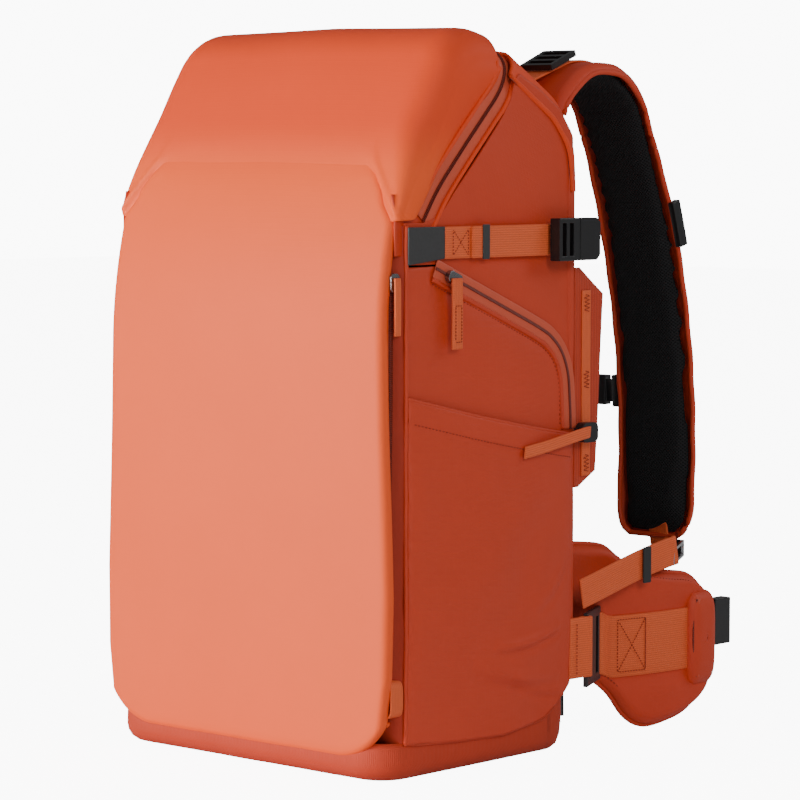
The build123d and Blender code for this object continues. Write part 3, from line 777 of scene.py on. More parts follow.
def rounded_plan(width, depth, radius, count=240):
    """A rounded rectangle in plan, centred on the pack."""
    quarter = arc(0, 0, radius, 0, 90, 16)
    corners = []
    for k, (sx, sy) in enumerate(((1, 1), (-1, 1), (-1, -1), (1, -1))):
        spin = k * math.pi / 2
        turned = quarter @ np.array([[math.cos(spin), math.sin(spin)], [-math.sin(spin), math.cos(spin)]])
        corners.append(turned + [sx * (width / 2 - radius), sy * (depth / 2 - radius)])
    loop = np.vstack(corners + [corners[0][:1]])
    return resample(loop, count + 1)[:-1] + [0, DEPTH / 2]


def base():
    """The base: rounded-rectangle rings that tuck under to the flat bottom and close at the middle."""
    inset_and_height = [(1.6, 31), (0.8, 26), (0.4, 22), (0.2, 14), (1.2, 9), (3.8, 4.6), (8.0, 1.6), (13, 0.2),
                        (30, 0.0), (70, 0.0), (112, 0.0)]
    rings = []
    for inset, z in inset_and_height:
        plan = rounded_plan(2 * (HALF - inset), DEPTH - 2 * inset, max(36 - inset, 4))
        wave = noise(plan[:, 0] + z, plan[:, 1], 30, 18, 0.5) if 0 < z < 25 else 0
        middle = unit(plan - [0, DEPTH / 2])
        plan = plan + middle * np.atleast_1d(wave)[:, None]
        climb = (seam_low(np.clip(plan[:, 1], 150, 235)) - 25) * ramp(plan[:, 1], 140, 200) * ramp(z, 2, 34) * 1.2
        rings.append(np.column_stack([plan, z + climb]))
    skin = surface("base_skin", np.array(rings), wrap=True, flip=True)
    lined(skin, "base_fabric", "pack", "base_panel", 2.0)
    plan = rounded_plan(2 * HALF - 0.6, DEPTH - 0.6, 36)
    loop = np.column_stack([plan, seam_low(plan[:, 1])])
    loop = loop[(loop[:, 1] > 22) & (loop[:, 1] < 232)]
    for side, label in SIDES.items():
        edge = loop[loop[:, 0] * side > 0]
        edge = edge[np.argsort(edge[:, 1])]
        dress(tube(f"base_piping_{label}", spline(edge[::3], 120), 1.5), "base_fabric", "pack")
    x, y = np.meshgrid(np.linspace(-147, 147, 60), np.linspace(30, 222, 50))
    quilt = np.sin(x / 147 * math.pi * 2.5) ** 2 * np.sin((y - 30) / 192 * math.pi * 2) ** 2
    dress(surface("inside_floor", np.stack([x, y, 22 + 3.0 * quilt], -1)), "lining", "pack")


def zip_garage():
    """A tongue of cloth behind each low end of the lid's zip: a short bent sheet under the tape."""
    y, z = np.meshgrid(np.linspace(15, 66, 24), np.linspace(405, 452, 24))
    x = 149.4 + 0.5 * np.sin((y - 15) / 51 * math.pi) - 3.0 * ramp(z, 440, 452)
    right = surface("zip_garage_right", np.stack([x, y, z], -1))
    for obj in (right, mirrored(right, "zip_garage_left")):
        dress(thicken(obj, 1.2), "side_fabric", "pack")


def gusset():
    """The pleated strip that joins the flap to the body: it runs down one side, round the two lower
    corners and up the other, flaring from the flap's edge to the side seam."""
    def both(half):
        return resample(np.vstack([half, half[-2::-1] * [-1, 1]]), count)

    count = 420
    z = np.linspace(GUSSET_TOP_Z, 90, 80)
    turn_low = front_width(90) - 9.5 - 50
    right = np.column_stack([front_width(z) - 9.5, z])
    inner = both(np.vstack([right, arc(turn_low, 82, 50, 0, -90, 26)[1:], [[0, 32]]]))
    outer = both(np.vstack([[[SIDE_X, GUSSET_TOP_Z]], arc(SIDE_X - 10, 35, 10, 0, -90, 12), [[0, 25]]]))
    t = np.concatenate([np.linspace(0, 0.5, 8), np.linspace(0.56, 1.0, 8)])
    grow = np.array([0.0, 0.02, 0.05, 0.05, 0.05, 0.1, 0.2, 0.3, 0.4, 0.52, 0.64, 0.75, 0.86, 0.94, 0.98, 1.0])
    y = 4.0 + 20.5 * t + 2.6 * ramp(1 - np.abs(inner[:, 1:] - 415) / 30, 0, 1)
    blend = grow[None, :, None]
    xz = inner[:, None] * (1 - blend) + outer[:, None] * blend
    pucker = noise(np.arange(count)[:, None] * 1.0, t[None] * 60, 7, 30, 0.7) * ramp(t, 0.5, 0.9)[None]
    front = np.interp(xz[..., 1], OUTLINE[:RIDGE_AT, 1], OUTLINE[:RIDGE_AT, 0])
    depth = np.maximum(y, front * (1 - t) + 3)
    grid = np.stack([xz[..., 0] + np.sign(xz[..., 0]) * pucker, depth, xz[..., 1]], -1)
    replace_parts(dress(surface("front_gusset_skin", grid, flip=True), "gusset_fabric", "pack"), "front_gussets")
    seam = straight(140, 152.6, 24.5, (30, GUSSET_TOP_Z))
    seam[:, 0] += noise(seam[:, 2], seam[:, 2] * 0, 16, 31, 0.5)
    zip_line = straight(100, 144.6, 15.0, (60, 392))
    coil_piece = band("front_coil_right", zip_line + [0.9, 0, 0], (0, -1, 0), 4.2, 1.6)
    for piece, slot in ((tube("side_seam_right", seam, 1.7), "side_fabric"), (coil_piece, "zip_coil"),
                        (band("front_tape_right", zip_line, (0, -1, 0), 15.0, 0.8), "zip_tape")):
        dress(piece, slot, "pack")
        dress(mirrored(piece, piece.name.replace("right", "left")), slot, "pack")
    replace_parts(coil_piece, "front_zip_chains")


def front_pocket_wall():
    """The quilted wall between the front pocket and the main compartment."""
    x, z = np.meshgrid(np.linspace(-146, 146, 80), np.linspace(26, GUSSET_TOP_Z, 110))
    quilt = np.abs(np.sin(x / 146 * math.pi * 2)) ** 0.5 * np.abs(np.sin((z - 26) / 402 * math.pi * 4)) ** 0.5
    obj = surface("pocket_wall", np.stack([x, 25.6 - 1.8 * quilt, z], -1))
    dress(thicken(obj, 2.4), "lining", "pack")
    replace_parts(obj, "front_wall")


# ---- stitches and padding ----
def stitching(name, path, out, body, pitch=3.6, radius=0.36):
    """A row of stitches: each dash is four six-sided rings along the path, thin and sunk at its ends."""
    path = np.asarray(path, float)
    walked = np.concatenate([[0], np.cumsum(np.linalg.norm(np.diff(path, axis=0), axis=1))])
    out = unit(np.broadcast_to(np.asarray(out, float), path.shape))
    starts = np.arange(0.3 * pitch, walked[-1] - pitch, pitch)
    at = starts[:, None] + pitch * np.array([0.0, 0.16, 0.52, 0.68])
    spot = np.stack([np.interp(at, walked, path[:, k]) for k in range(3)], -1)
    up = unit(np.stack([np.interp(at, walked, out[:, k]) for k in range(3)], -1))
    along = unit(np.broadcast_to(spot[:, -1:] - spot[:, :1], spot.shape))
    side = np.cross(along, up)
    turn = np.linspace(0, 2 * math.pi, 6, endpoint=False)
    fat = radius * np.array([0.3, 1.0, 1.0, 0.3])[None, :, None, None]
    lift = np.array([-0.25, 0.2, 0.2, -0.25])[None, :, None]
    centre = (spot + up * lift)[:, :, None]
    ring = centre + fat * (np.cos(turn)[:, None] * side[:, :, None] + np.sin(turn)[:, None] * up[:, :, None])
    index = np.arange(ring[..., 0].size).reshape(ring.shape[:3])
    ahead = np.roll(index, -1, axis=2)
    quads = np.stack([index[:, :-1], ahead[:, :-1], ahead[:, 1:], index[:, 1:]], -1).reshape(-1, 4)
    points = place(ring).reshape(-1, 3)
    return dress(mesh_object(name, points, quads, points[:, 1:]), "thread", body)


def apply_mesh(obj):
    """Bakes the live modifiers into the mesh."""
    made = bpy.data.meshes.new_from_object(obj.evaluated_get(bpy.context.evaluated_depsgraph_get()))
    obj.modifiers.clear()
    obj.data = made


def puff(obj, chart, cap):
    """Fills a padded form by cloth pressure, each point moving at most cap millimetres.
    chart gives texture coordinates in millimetres from the points' places."""
    remesh = obj.modifiers.new("even", "REMESH")
    remesh.mode = "VOXEL"
    remesh.voxel_size = 0.005
    apply_mesh(obj)
    start = points_of(obj.data)
    cloth = obj.modifiers.new("cloth", "CLOTH")
    cloth.settings.use_pressure = True
    cloth.settings.uniform_pressure_force = 4.0
    cloth.settings.effector_weights.gravity = 0
    cloth.settings.quality = 4
    for moment in range(1, 21):
        bpy.context.scene.frame_set(moment)
    apply_mesh(obj)
    moved = points_of(obj.data) - start
    far = np.linalg.norm(moved, axis=1, keepdims=True)
    moved = start + moved * np.minimum(1, cap * 0.001 / np.maximum(far, 1e-9))
    obj.data.vertices.foreach_set("co", moved.ravel())
    bpy.context.scene.frame_set(1)
    obj.data.polygons.foreach_set("use_smooth", np.ones(len(obj.data.polygons), bool))
    mesh = obj.data
    layer = mesh.uv_layers.get("UVMap") or mesh.uv_layers.new(name="UVMap")
    spots = points_of(mesh) * 1000 + [0, DEPTH / 2, 0]
    flat = np.stack(chart(spots), -1)[loop_vertices(mesh)] * 0.001
    layer.data.foreach_set("uv", flat.astype(np.float32).ravel())
    smooth = obj.modifiers.new("finer", "SUBSURF")
    smooth.levels = smooth.render_levels = 1


def pillow(name, centre, half, high, to_space, flat=0.0, power=5.0, crease=None):
    """A crowned closed form over a rounded rectangle: rings shrink from the rim to the middle on both sides.
    Height = high * (1 - s^4)^0.45 above, flat * the same below; to_space(a, b, h) places each point."""
    turn = np.linspace(0, 2 * math.pi, 96, endpoint=False)
    c, s = np.cos(turn), np.sin(turn)
    a, b = np.sign(c) * np.abs(c) ** (2 / power), np.sign(s) * np.abs(s) ** (2 / power)
    grow = np.sin(np.linspace(0.02, 1, 22) * math.pi / 2)
    both_sides = np.concatenate([grow, grow[-2::-1]])[:, None]
    height = np.clip(1 - both_sides**4, 0, 1) ** 0.45
    height[:22] *= high
    height[22:] *= -flat
    one, two = centre[0] + half[0] * a * both_sides, centre[1] + half[1] * b * both_sides
    height = np.broadcast_to(height, one.shape)
    if crease:
        height = np.where(height > 0, height * crease(one, two), height)
    return surface(name, to_space(one, two, height), wrap=True)


# ---- bottle pockets ----
def bottle_pocket(side, body):
    """A pocket's cloth with its hem, the hem's stitches, and the webbing tail at its cord lock."""
    label, mirror = SIDES[side], np.array([side, 1, 1])
    y = np.linspace(25, 223.5, 110)
    t = np.linspace(0, 1, 110)[:, None]
    z = seam_low(y)[None] * (1 - t) + hem_z(y)[None] * t
    yy = np.broadcast_to(y[None], z.shape)
    x = pocket_x(yy, z)
    stitch_z = hem_z(y) - 18.6
    stitch_path = np.column_stack([pocket_x(y, stitch_z) + 0.1, y, stitch_z])[2:-2]
    hem_path = np.column_stack([pocket_x(y, hem_z(y)) - 0.8, y, hem_z(y)])
    cloth = surface(f"bottle_pocket_skin_{label}", np.stack([x, yy, z], -1) * mirror, flip=side < 0)
    dress(thicken(cloth, 1.4), "side_fabric", body)
    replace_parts(cloth, f"bottle_pocket_{label}")
    dress(tube(f"pocket_hem_{label}", hem_path * mirror, 1.3), "side_fabric", body)
    stitching(f"pocket_stitch_{label}", stitch_path * mirror, (side, 0, 0), body)
    tail = np.array([(163.2, 236, 258.4), (164.4, 226, 257.6), (165.6, 205, 254.8), (166.6, 176, 250.6),
                     (166.4, 150, 247.4)])
    tail[:, 0] = np.maximum(tail[:, 0], pocket_x(tail[:, 1], tail[:, 2]) + 1.9)
    webbing(f"cinch_tail_{label}", spline(tail, 50) * mirror, (0, 0.12, 1), 10, 1.7, body)


# ---- compression straps ----
def compression(side):
    """A compression strap: the sewn run, the tail folded back over it, and the short rear piece."""
    label, mirror = SIDES[side], np.array([side, 1, 1])
    run = straight(60, WEBBING_X, (66, 200), STRAP_Z)
    fold_plan = [(156.0, 100), (157.6, 95.5), (158.6, 98), (158.4, 108), (158.2, 130), (158.4, 160), (158.8, 186)]
    fold = spline([(*p, STRAP_Z) for p in fold_plan], 80)
    rear = straight(12, WEBBING_X, (222, 236), STRAP_Z)
    for name, path, thick in (("run", run, 2.2), ("tail", fold, 2.0), ("rear", rear, 2.2)):
        piece = webbing(f"compression_{name}_{label}", path * mirror, (0, 0, 1), 25, thick)
        if side > 0 and name == "run":
            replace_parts(piece, "compression_straps")
    low, high, x = STRAP_Z - 10, STRAP_Z + 10, WEBBING_X + 1.2
    cross = np.array([(x, 74, low), (x, 74, high), (x, 92, low), (x, 92, high), (x, 74, low)])
    stitching(f"compression_stitch_{label}", resample(cross, 80) * mirror, (side, 0, 0), "pack", 2.6)


# ---- shoulder straps ----
def strap_stations(count):
    """Angles spaced so that the steps along the strap are about equal."""
    walk = np.linspace(0, 1, count)
    crest_turn, chest_turn = TOP_TURN - JOIN_TURN, JOIN_TURN - LOW_TURN
    share = CREST_R * crest_turn / (CREST_R * crest_turn + CHEST_R * chest_turn)
    down = JOIN_TURN - (walk - share) / (1 - share) * chest_turn
    return np.where(walk < share, TOP_TURN - walk / share * crest_turn, down)


def strap_space(turn, x, offset):
    """Places strap coordinates: angle in degrees, x across, offset outwards."""
    turn, x, offset = np.broadcast_arrays(turn, x, offset)
    way = np.stack([np.cos(np.radians(turn)), np.sin(np.radians(turn))], -1)
    out = offset[..., None]
    spot = np.where((turn > JOIN_TURN)[..., None], CREST + (CREST_R + out) * way, CHEST + (CHEST_R + out) * way)
    return np.stack([x, spot[..., 0], spot[..., 1]], -1)


def strap_width(walk):
    """The strap's half-width along its length: a little waist over the shoulder, round at the low end."""
    waist = 39 - 2.4 * np.exp(-((walk - 0.32) / 0.12) ** 2)
    over = np.clip((walk - 0.945) / 0.055, 0, 1)
    return waist * (1 - 0.42 * (1 - np.sqrt(1 - over**2 * 0.98)))


def strap_chart(p):
    """Across and along the strap, from a point's place."""
    turn, over = (np.arctan2(p[:, 2] - middle[1], p[:, 1] - middle[0]) for middle in (CHEST, CREST))
    join = math.radians(JOIN_TURN)
    return p[:, 0], np.where(turn < join, turn * CHEST_R, join * CHEST_R + (over - join) * CREST_R)


def capped(grid):
    """A padded form's rings with a tiny ring added at each end, which closes it."""
    middle = grid.mean(axis=1, keepdims=True)
    small = middle + (grid - middle) * 0.02
    return np.concatenate([small[:1], grid, small[-1:]])


def shoulder_strap():
    """The strap's foam, its outer cloth with bindings and stitches, and the three webbings on it."""
    mid = -4.2
    walk = np.linspace(0, 1, 130)
    turn = strap_stations(130)
    t = np.linspace(-1, 1, 21)
    edge = np.clip(1 - np.abs(t) ** 5, 0, 1) ** 0.5
    ends = np.clip(np.minimum(walk / 0.015, (1 - walk) / 0.02), 0.15, 1) ** 0.5
    across = np.concatenate([t, t[-2:0:-1]])
    depth = np.concatenate([mid - 3.6 * edge, (mid + 4.0 * edge)[-2:0:-1]])
    x = STRAP_X + (strap_width(walk) - 1.5)[:, None] * across[None]
    grid = strap_space(turn[:, None], x, mid + (depth[None] - mid) * ends[:, None])
    pad = surface("strap_pad_mesh_right", capped(grid), wrap=True)
    puff(pad, strap_chart, cap=3.0)
    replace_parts(pad, "strap_pad_right")  # hides the right pad's CAD node
    t = np.linspace(-1, 1, 33)
    width = strap_width(walk) + 0.6
    x = STRAP_X + width[:, None] * t[None]
    crown = 2.6 - 7.0 * np.clip(np.abs(t) - 0.86, 0, 1) ** 1.2 / 0.14**1.2 * 0.9
    offset = crown[None] + noise(x, turn[:, None] * 6, 34, 41, 0.5) - (2.0 * (1 - ends))[:, None]
    shell = surface("strap_cover_right", strap_space(turn[:, None], x, offset), flip=True)
    pieces = [(pad, "pad_mesh", "strap_pad"), (thicken(shell, 1.2), "strap_fabric", "strap_shell")]
    for label, side in (("inner", -1), ("outer", 1)):
        rim = strap_space(turn, STRAP_X + side * (width - 0.4), mid + 0.5 * np.sin(walk * 520 / 7.0))
        pieces.append((tube(f"strap_binding_{label}_right", rim, 2.3), "strap_fabric", None))
        row = strap_space(turn, STRAP_X + side * (width - 7.5), 2.2)
        way = strap_space(turn, row[:, 0], 12.0) - row
        line = stitching(f"strap_stitch_{label}_right", row[3:-6], way[3:-6], "shoulder_strap_right")
        pieces.append((line, "thread", None))
    low = strap_space(turn[-1], STRAP_X + np.linspace(-1, 1, 30) * width[-1], mid)
    pieces.append((tube("strap_binding_end_right", low, 2.3), "strap_fabric", None))
    over = strap_space(np.linspace(112, 12, 90)[::6], STRAP_X, 5.0)
    start = [(STRAP_X, 219.0, 534.2), (STRAP_X, 221.0, 535.2), (STRAP_X, 229, 539.0)]
    lifter = spline(np.vstack([start, over]), 130)
    pieces.append((band("load_lifter_right", lifter, (-1, 0, 0), 25, 2.0), "webbing", "strap_webbing"))
    tail = strap_space(np.linspace(-5.6, -8.7, 12), np.linspace(93, 101, 12), -4.0)
    tail = spline(np.vstack([tail, [(107, 418, 141), (113, 414, 142), (117, 411.4, 143)]]), 50)
    pieces.append((band("strap_tail_right", tail, (-0.96, 0.1, -0.3), 22, 2.0), "webbing", None))
    y = np.linspace(236, 356, 60)
    z = 126 + 0.2 * (y - 237.6) + 1.4 * np.sin((y - 236) / 120 * math.pi)
    x = 155.6 + 0.9 * np.sin((y - 236) / 120 * math.pi * 2)
    hook_end = [(156.6, 361, 150.6), (155.4, 364.4, 150.8), (153.2, 362.5, 150.2), (152.6, 356, 149)]
    run = np.vstack([np.column_stack([x, y, z]), hook_end])
    pieces.append((band("adjuster_webbing_right", spline(run[::2], 110), (0, -0.2, 1), 25, 2.0), "webbing", None))
    dress_both(pieces, "shoulder_strap")


# ---- hip belt ----
FIN_TOP = spline([(258, 161), (278, 160), (296, 157), (309, 147), (324, 138), (356, 131.5), (390, 126), (412, 112),
                  (422, 96), (424.5, 80)], 200)
FIN_LOW = spline([(258, 60), (280, 52), (301, 36), (318, 14), (337, 4), (364, 6), (391, 12.5), (412, 27),
                  (421, 48), (424.5, 80)], 200)


def fin_space(y, z, offset):
    """Places hip wing coordinates on the curved belt, offset outwards from its outer face."""
    y, z, offset = np.broadcast_arrays(y, z, offset)
    radius = FIN_R + offset
    return np.stack([FIN_X + np.sqrt(radius**2 - (y - FIN_Y) ** 2), y, z], -1)


def hip_wing():
    """The wing's foam, its outer cloth with binding and stitches, a small zipped pocket and the webbings."""
    y = 258 + 166.4 * np.sin(np.linspace(0, 0.985, 90) * math.pi / 2)
    top = np.interp(y, FIN_TOP[:, 0], FIN_TOP[:, 1])
    low = np.interp(y, FIN_LOW[:, 0], FIN_LOW[:, 1])
    walk = np.linspace(0, 1, 90)
    t = np.linspace(-1, 1, 25)
    edge = np.clip(1 - np.abs(t) ** 4, 0, 1) ** 0.5
    ends = np.clip(np.minimum(walk / 0.03, (1 - walk) / 0.04), 0.1, 1) ** 0.5
    across = np.concatenate([t, t[-2:0:-1]])
    depth = np.concatenate([4.0 * edge, (-5.0 * edge)[-2:0:-1]])
    z = (top + low)[:, None] / 2 + (top - low)[:, None] / 2 * across[None] * 0.985
    grid = fin_space(y[:, None], z, -6.4 + depth[None] * ends[:, None])
    pad = surface("hip_pad_mesh_right", capped(grid), wrap=True, flip=True)
    puff(pad, lambda p: (p[:, 1], p[:, 2]), cap=3.0)
    t = np.linspace(-1, 1, 45)
    z = (top + low)[:, None] / 2 + (top - low)[:, None] / 2 * t[None]
    yy = np.broadcast_to(y[:, None], z.shape)
    free = ramp(np.abs(z - 73), 24, 44)
    rim = np.clip((np.abs(t) - 0.88) / 0.12, 0, 1) ** 1.5
    tip = ramp(walk, 0.93, 1.0)[:, None]
    puffed = 0.2 + 2.6 * free * (1 - rim) + noise(yy, z, 30, 51, 0.7) * free - 6.0 * np.maximum(rim[None], tip)
    cover = surface("hip_cover_right", fin_space(yy, z, puffed))
    pieces = [(pad, "pad_mesh", "hip_fin"), (thicken(cover, 1.2), "strap_fabric", None)]
    rim_line = resample(np.vstack([FIN_TOP[:-1], FIN_LOW[::-1]]), 220)
    pieces.append((tube("hip_binding_right", fin_space(*rim_line.T, -5.8), 2.4), "strap_fabric", None))
    inner = (rim_line - [345, 80]) * [0.93, 0.9] + [345, 80]
    row = fin_space(inner[12:-12, 0], inner[12:-12, 1], 2.2)
    pieces.append((stitching("hip_stitch_right", row, (1, 0, 0), "hip_wing_right"), "thread", None))

    to_fin = lambda a, b, h: fin_space(a, b, h + 0.5)
    pouch = pillow("hip_pocket_right", (401, 72), (18, 39), 9.5, to_fin, flat=1.5)
    pieces.append((thicken(pouch, 1.2), "side_fabric", None))
    slit = spline([(389.5, 40), (386.5, 56), (385.5, 74), (386.5, 92), (390, 106)], 60)
    lip = fin_space(slit[:, 0], slit[:, 1], 6.5)
    pieces.append((band("hip_pocket_zip_right", lip, (0.75, 0.65, 0), 7, 1.2), "zip_tape", None))
    pieces.append((tube("hip_pocket_coil_right", lip + [0.8, -0.5, 0], 1.1), "zip_coil", None))
    loop = [(129.4, 298, 75.5), (130.4, 291, 76.5), (131.8, 285.5, 77.5), (134.0, 283.2, 78), (136.2, 285.2, 78),
            (136.0, 289, 77), (134.8, 294, 75)]
    belt = np.vstack([loop, fin_space(np.linspace(300, 390, 50)[::7], 73.5, 2.2)])
    pieces.append((band("belt_webbing_right", spline(belt, 120), (0, 0, -1), 52, 2.2), "webbing", "hip_webbing"))
    cross = np.array([(303, 52), (303, 96), (331, 96), (331, 52), (303, 52),
                      (331, 96), (331, 52), (303, 96)], float)
    row = fin_space(*resample(cross, 150).T, 3.6)
    pieces.append((stitching("belt_cross_right", row, (1, 0, 0), "hip_wing_right", 2.8), "thread", None))
    end = fin_space(np.linspace(412, 438, 20), 80.0, -6.8)
    pieces.append((band("belt_end_webbing_right", end, (0, 0, -1), 24, 2.2), "webbing", None))
    dress_both(pieces, "hip_wing")


# ---- back pads ----
def back_padding():
    """Two tall back pads with creases across them, and a lumbar pad with a groove along the spine."""
    to_back = lambda a, b, h: np.stack([a, DEPTH + 1.5 + h, b], -1)
    chart = lambda p: (p[:, 0], p[:, 2])
    creases = lambda a, b: 1 - 0.55 * np.exp(-((np.mod(b - 190, 62.5) - 31) / 4.5) ** 2)
    groove = lambda a, b: 1 - 0.5 * np.exp(-(a / 7) ** 2)
    right = pillow("back_pad_right", (58, 315), (38, 123), 12.5, to_back, flat=0.8, power=6, crease=creases)
    puff(right, chart, cap=3.5)
    left = mirrored(right, "back_pad_left")
    lumbar = pillow("lumbar_pad", (0, 121), (95, 49), 17.5, to_back, flat=0.8, power=6, crease=groove)
    puff(lumbar, chart, cap=4.0)
    for pad in (right, left, lumbar):
        dress(pad, "back_mesh", "pack")
    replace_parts(right, "back_pads")


# ---- handle, loops, wings and pulls ----
def slope_space(local, y0=196.0):
    """Places (x, along the slope, off the slope) on the sloping top."""
    x, along, off = np.moveaxis(np.asarray(local, float), -1, 0)
    c, s = math.cos(SLOPE), math.sin(SLOPE)
    start_z = 570.9 - math.tan(SLOPE) * (y0 - 145.8)
    return np.stack([x, y0 + along * c + off * s, start_z - along * s + off * c], -1)


def handle():
    """The grab handle: an arch of webbing on sewn feet, with a padded sleeve."""
    arch = spline([(-39, 0, 4.0), (-39.5, 0, 12), (-37, 0, 23), (-28, 0, 31), (0, 0, 34), (28, 0, 31), (37, 0, 23),
                   (39.5, 0, 12), (39, 0, 4.0)], 120)
    across = np.array([0, math.cos(SLOPE), -math.sin(SLOPE)])
    grip = webbing("handle_webbing", slope_space(arch), across, 16, 2.4, None)
    low, high = place(slope_space([(0, 0, 4.0), (0, 0, 15.0)]))
    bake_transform(grip)
    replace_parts(grip, "grab_handle")
    dress(band("handle_sleeve", slope_space(arch[36:84]), across, 19, 7.0), "strap_fabric", "grab_handle")
    for side, label in SIDES.items():
        foot = straight(20, 39.0 * side, (-17, 17), 1.6)
        webbing(f"handle_foot_{label}", slope_space(foot), (side, 0, 0), 18, 2.0)
        cross = np.array([(-6, -13), (6, -13), (-6, 13), (6, 13), (-6, -13)]) + [39 * side, 0]
        cross = slope_space(resample(np.column_stack([cross, np.full(5, 2.7)]), 60))
        stitching(f"handle_stitch_{label}", cross, (0, math.sin(SLOPE), math.cos(SLOPE)), "pack", 2.6)


def small_webbing():
    """The lash loops at the low front corners, and the stabiliser webbing round each rear edge."""
    loop = spline([(143.5, 14, 53), (149, 14, 52.6), (152.2, 14, 56), (152.8, 14, 66), (152.2, 14, 76),
                   (149, 14, 79.6), (143.5, 14, 79)], 60)
    around = spline([(154.6, 222, 82), (155.0, 234, 82), (155.9, 240, 82), (157.0, 244.6, 82),
                     (156.4, 247.6, 81.8), (154.2, 247.4, 81.6), (152.9, 243, 81.8), (153.2, 236, 82)], 80)
    for side, label in SIDES.items():
        mirror = np.array([side, 1, 1])
        first = webbing(f"lash_loop_{label}", loop * mirror, (0, 1, 0), 14, 1.8)
        webbing(f"stabiliser_{label}", around * mirror, (0, 0, 1), 50, 2.2)
        row = straight(40, 156.6, 229.0, (60, 105))
        stitching(f"stabiliser_stitch_{label}", row * mirror, (side, 0, 0), "pack", 2.8)
        if side > 0:
            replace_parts(first, "sewn_webbing")


def wings():
    """The ribbed flap behind each side wall, with a webbing strip tacked down its middle."""
    z = np.linspace(213, 391, 90)
    outer = np.interp(z, [213, 225, 299, 369, 391], [236, 258, 263, 267, 236])
    t = np.linspace(0, 1, 24)[None]
    y = 229 * (1 - t) + outer[:, None] * t
    zz = np.broadcast_to(z[:, None], y.shape)
    x = 151.6 - 1.4 * t + noise(zz, y, 46, 61, 1.0) * t
    strip = straight(60, 152.6, 243.5, (222, 372))
    for side, label in SIDES.items():
        mirror = np.array([side, 1, 1])
        flap = surface(f"side_wing_{label}", np.stack([x, y, zz], -1) * mirror, flip=side > 0)
        dress(thicken(flap, 2.0, offset=0), "ribbed_webbing", "pack")
        webbing(f"wing_webbing_{label}", strip * mirror, (0, 1, 0), 11, 1.4)
        for k, height in enumerate((232, 300, 362)):
            zig = np.array([(153.5, 243.5 + 3.6 * (-1) ** i, height - 7 + i * 1.6) for i in range(10)])
            stitching(f"wing_bartack_{label}_{k}", resample(zig, 60) * mirror, (side, 0, 0), "pack", 2.2)
        if side > 0:
            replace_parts(flap, "side_wings")


def pulls():
    """Webbing pulls, each a folded strip hanging from its slider; the door's pull has a stitched box."""
    door = spline([(161.9, 73, 386.5), (162.0, 73, 380), (162.2, 73, 360), (162.0, 73, 333)], 40)
    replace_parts(webbing("door_pull_webbing", door, (0, 1, 0), 12, 2.6, "door_pull"), "door_pull")
    x = 163.7
    box = np.array([(x, 69.5, 338), (x, 76.5, 338), (x, 76.5, 366), (x, 69.5, 366), (x, 69.5, 338)])
    stitching("door_pull_stitch", resample(box, 80), (1, 0, 0), "door_pull", 2.6)
    front = spline([(152.0, 15.2, 388), (152.3, 15.2, 380), (152.4, 15.2, 362), (152.2, 15.2, 345)], 40)
    top = slope_space(spline([(10, 11.5, 3.4), (10, 20, 3.6), (10, 30, 3.4), (10, 40, 3.2)], 40), 146.0)
    for side, label in SIDES.items():
        mirror = np.array([side, 1, 1])
        for name, path, across, width, thick in (("front_pull", front, (0, 1, 0), 7, 2.2),
                                                 ("lid_pull", top, (1, 0, 0), 6.5, 2.6)):
            body = f"{name}_{label}"
            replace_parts(webbing(f"{name}_webbing_{label}", path * mirror, across, width, thick, body), body)


# ---- side door's zip ----
def door_zip_line():
    """The zip along the side door's edge: tape, coil, welt and stitches, each further down the door."""
    line = spline([(57, 396.5), (62, 394.5), (74, 389.5), (134, 365.5), (183, 345.5), (200, 336), (212, 323.5),
                   (219.5, 306), (221.5, 285), (222, 262)], 160)
    path = np.column_stack([side_x(line[:, 0], line[:, 1]), line])
    along = unit(np.gradient(line, axis=0))
    down = np.column_stack([np.zeros(160), along[:, 1], -along[:, 0]])
    tape = band("door_zip_cloth", path + [2.0, 0, 0] + down * 1.5, down, 15, 1.2)
    dress(tape, "zip_tape", "side_door")
    dress(band("door_zip_coil", path + [2.8, 0, 0] + down * 1.5, down, 2.6, 1.2), "zip_coil", "side_door")
    dress(tube("door_zip_welt", path + [1.4, 0, 0] + down * 10.5, 2.1), "side_fabric", "side_door")
    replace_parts(tape, "door_zip")
    stitching("door_zip_stitch", path + [2.0, 0, 0] + down * 14.0, (1, 0, 0), "side_door")


# ---- hardware and hard parts ----
# The CAD nodes that stay in view, by material; a name ending in _ has a right and a left one
HARD = {
    "black_plastic": "strap_hardware_ compression_sockets compression_clip_ sternum_socket_right "
                     "sternum_plug_left hip_socket_right hip_plug_left cinch_",
    "hook_plastic": "belt_hook_",
    "gunmetal": "metal_hook_ lid_slider_ front_slider_ door_slider",
    "rubber_tab": "strap_tabs",
    "frame_plastic": "frame_sheet",
    "stay_metal": "frame_stays",
}


def hardware():
    """Gives the CAD nodes that stay in view their materials and rounded edges."""
    for slot, listed in HARD.items():
        for name in [n + s for n in listed.split() for s in (SIDES.values() if n.endswith("_") else [""])]:
            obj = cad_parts[name]
            obj.data.materials.clear()
            obj.data.materials.append(MATERIALS[slot])
            weld = obj.modifiers.new("weld", "WELD")
            weld.merge_threshold = 0.00002
            bevel = obj.modifiers.new("bevel", "BEVEL")
            bevel.width = 0.0005 if "slider" in name or slot == "stay_metal" else 0.0009
            bevel.segments = 3
            bevel.limit_method = "ANGLE"
            bevel.angle_limit = math.radians(35)
            bevel.harden_normals = True


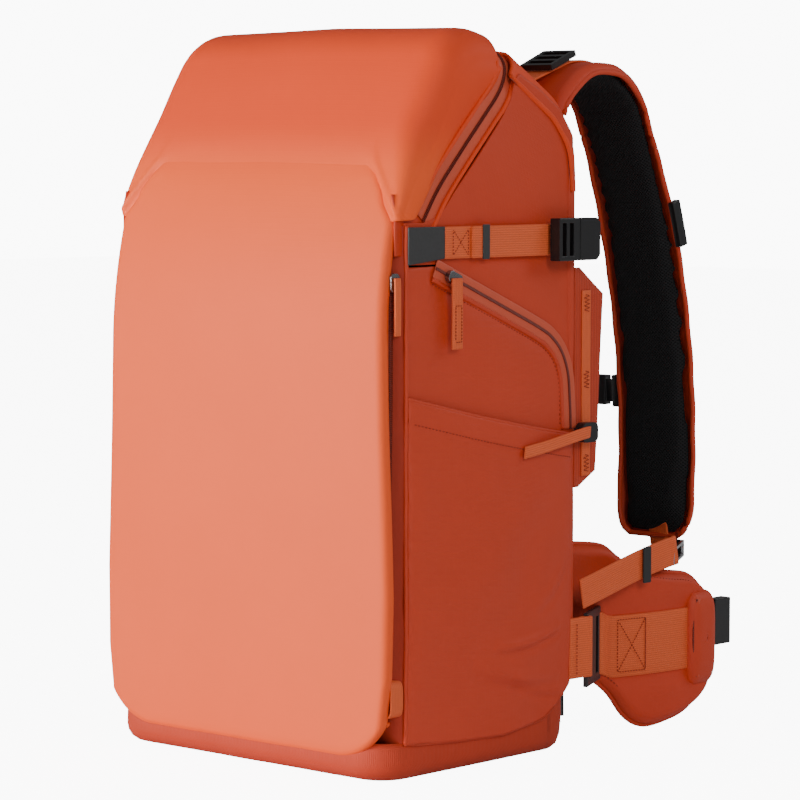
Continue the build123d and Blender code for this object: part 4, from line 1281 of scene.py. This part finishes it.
for build in (front_flap, lid_hood, top_back, lid_zip, side_walls, rear_corners, back_face, base, gusset,
              zip_garage, front_pocket_wall):
    build()
for side, body in ((1, "side_door"), (-1, "pack")):
    bottle_pocket(side, body)
    compression(side)
shoulder_strap()
hip_wing()
back_padding()
handle()
small_webbing()
wings()
pulls()
door_zip_line()
hardware()

# ---- floor, light and camera ----
def studio():
    """A white floor and sky that look bright to the camera but light the pack only softly, and five lamps."""
    x, y = np.meshgrid(np.linspace(-9000, 9000, 20), np.linspace(-9000, 9000, 20))
    floor = surface("floor", np.stack([x, y, np.full_like(x, -0.05)], -1))
    tree, shader = start_material("floor", (0.93, 0.93, 0.93), 0.9)
    seen = node(tree, "ShaderNodeLightPath").outputs["Is Camera Ray"]
    shader.inputs["Emission Color"].default_value = (1, 1, 1, 1)
    tree.links.new(math_node(tree, "MULTIPLY", seen, 9.2), shader.inputs["Emission Strength"])
    floor.data.materials.append(MATERIALS["floor"])
    world = bpy.data.worlds.new("studio")
    world.use_nodes = True
    tree = world.node_tree
    seen = node(tree, "ShaderNodeLightPath").outputs["Is Camera Ray"]
    strength = math_node(tree, "ADD", math_node(tree, "MULTIPLY", seen, 10.0), 0.20)
    tree.links.new(strength, tree.nodes["Background"].inputs[1])
    tree.nodes["Background"].inputs[0].default_value = (1, 1, 1, 1)
    bpy.context.scene.world = world
    lamps = (  # name, place, size, power
        ("key", (-1.5, -3.1, 0.45), 1.2, 150),
        ("front_fill", (0.2, -3.0, 0.2), 1.6, 26),
        ("side_fill", (2.6, -1.2, 1.6), 1.0, 27),
        ("top", (0.2, 0.3, 2.6), 1.6, 5),
        ("rim", (1.6, 2.2, 1.8), 1.2, 16),
    )
    for name, spot, size, power in lamps:
        data = bpy.data.lights.new(name, "AREA")
        data.shape = "DISK"
        data.size = size
        data.energy = power
        lamp = bpy.data.objects.new(name, data)
        lamp.location = spot
        lamp.rotation_euler = vector_turn(np.array([0, 0, 0.3]) - spot)
        bpy.context.scene.collection.objects.link(lamp)


def vector_turn(aim):
    """The turn that points a lamp or camera along a direction, upright."""
    x, y, z = aim
    return (math.pi / 2 + math.atan2(z, math.hypot(x, y)), 0, math.atan2(-x, y))


def camera():
    data = bpy.data.cameras.new("camera")
    data.lens = 147.28
    data.sensor_width = 36
    data.shift_x = 0.0730
    data.shift_y = -0.01165
    data.clip_end = 60
    shot = bpy.data.objects.new("camera", data)
    shot.location = (1.8071, -1.9496, 0.4873)
    shot.rotation_euler = (math.radians(90 - 4.245), 0, math.radians(42.836))
    bpy.context.scene.collection.objects.link(shot)
    bpy.context.scene.camera = shot


studio()
camera()
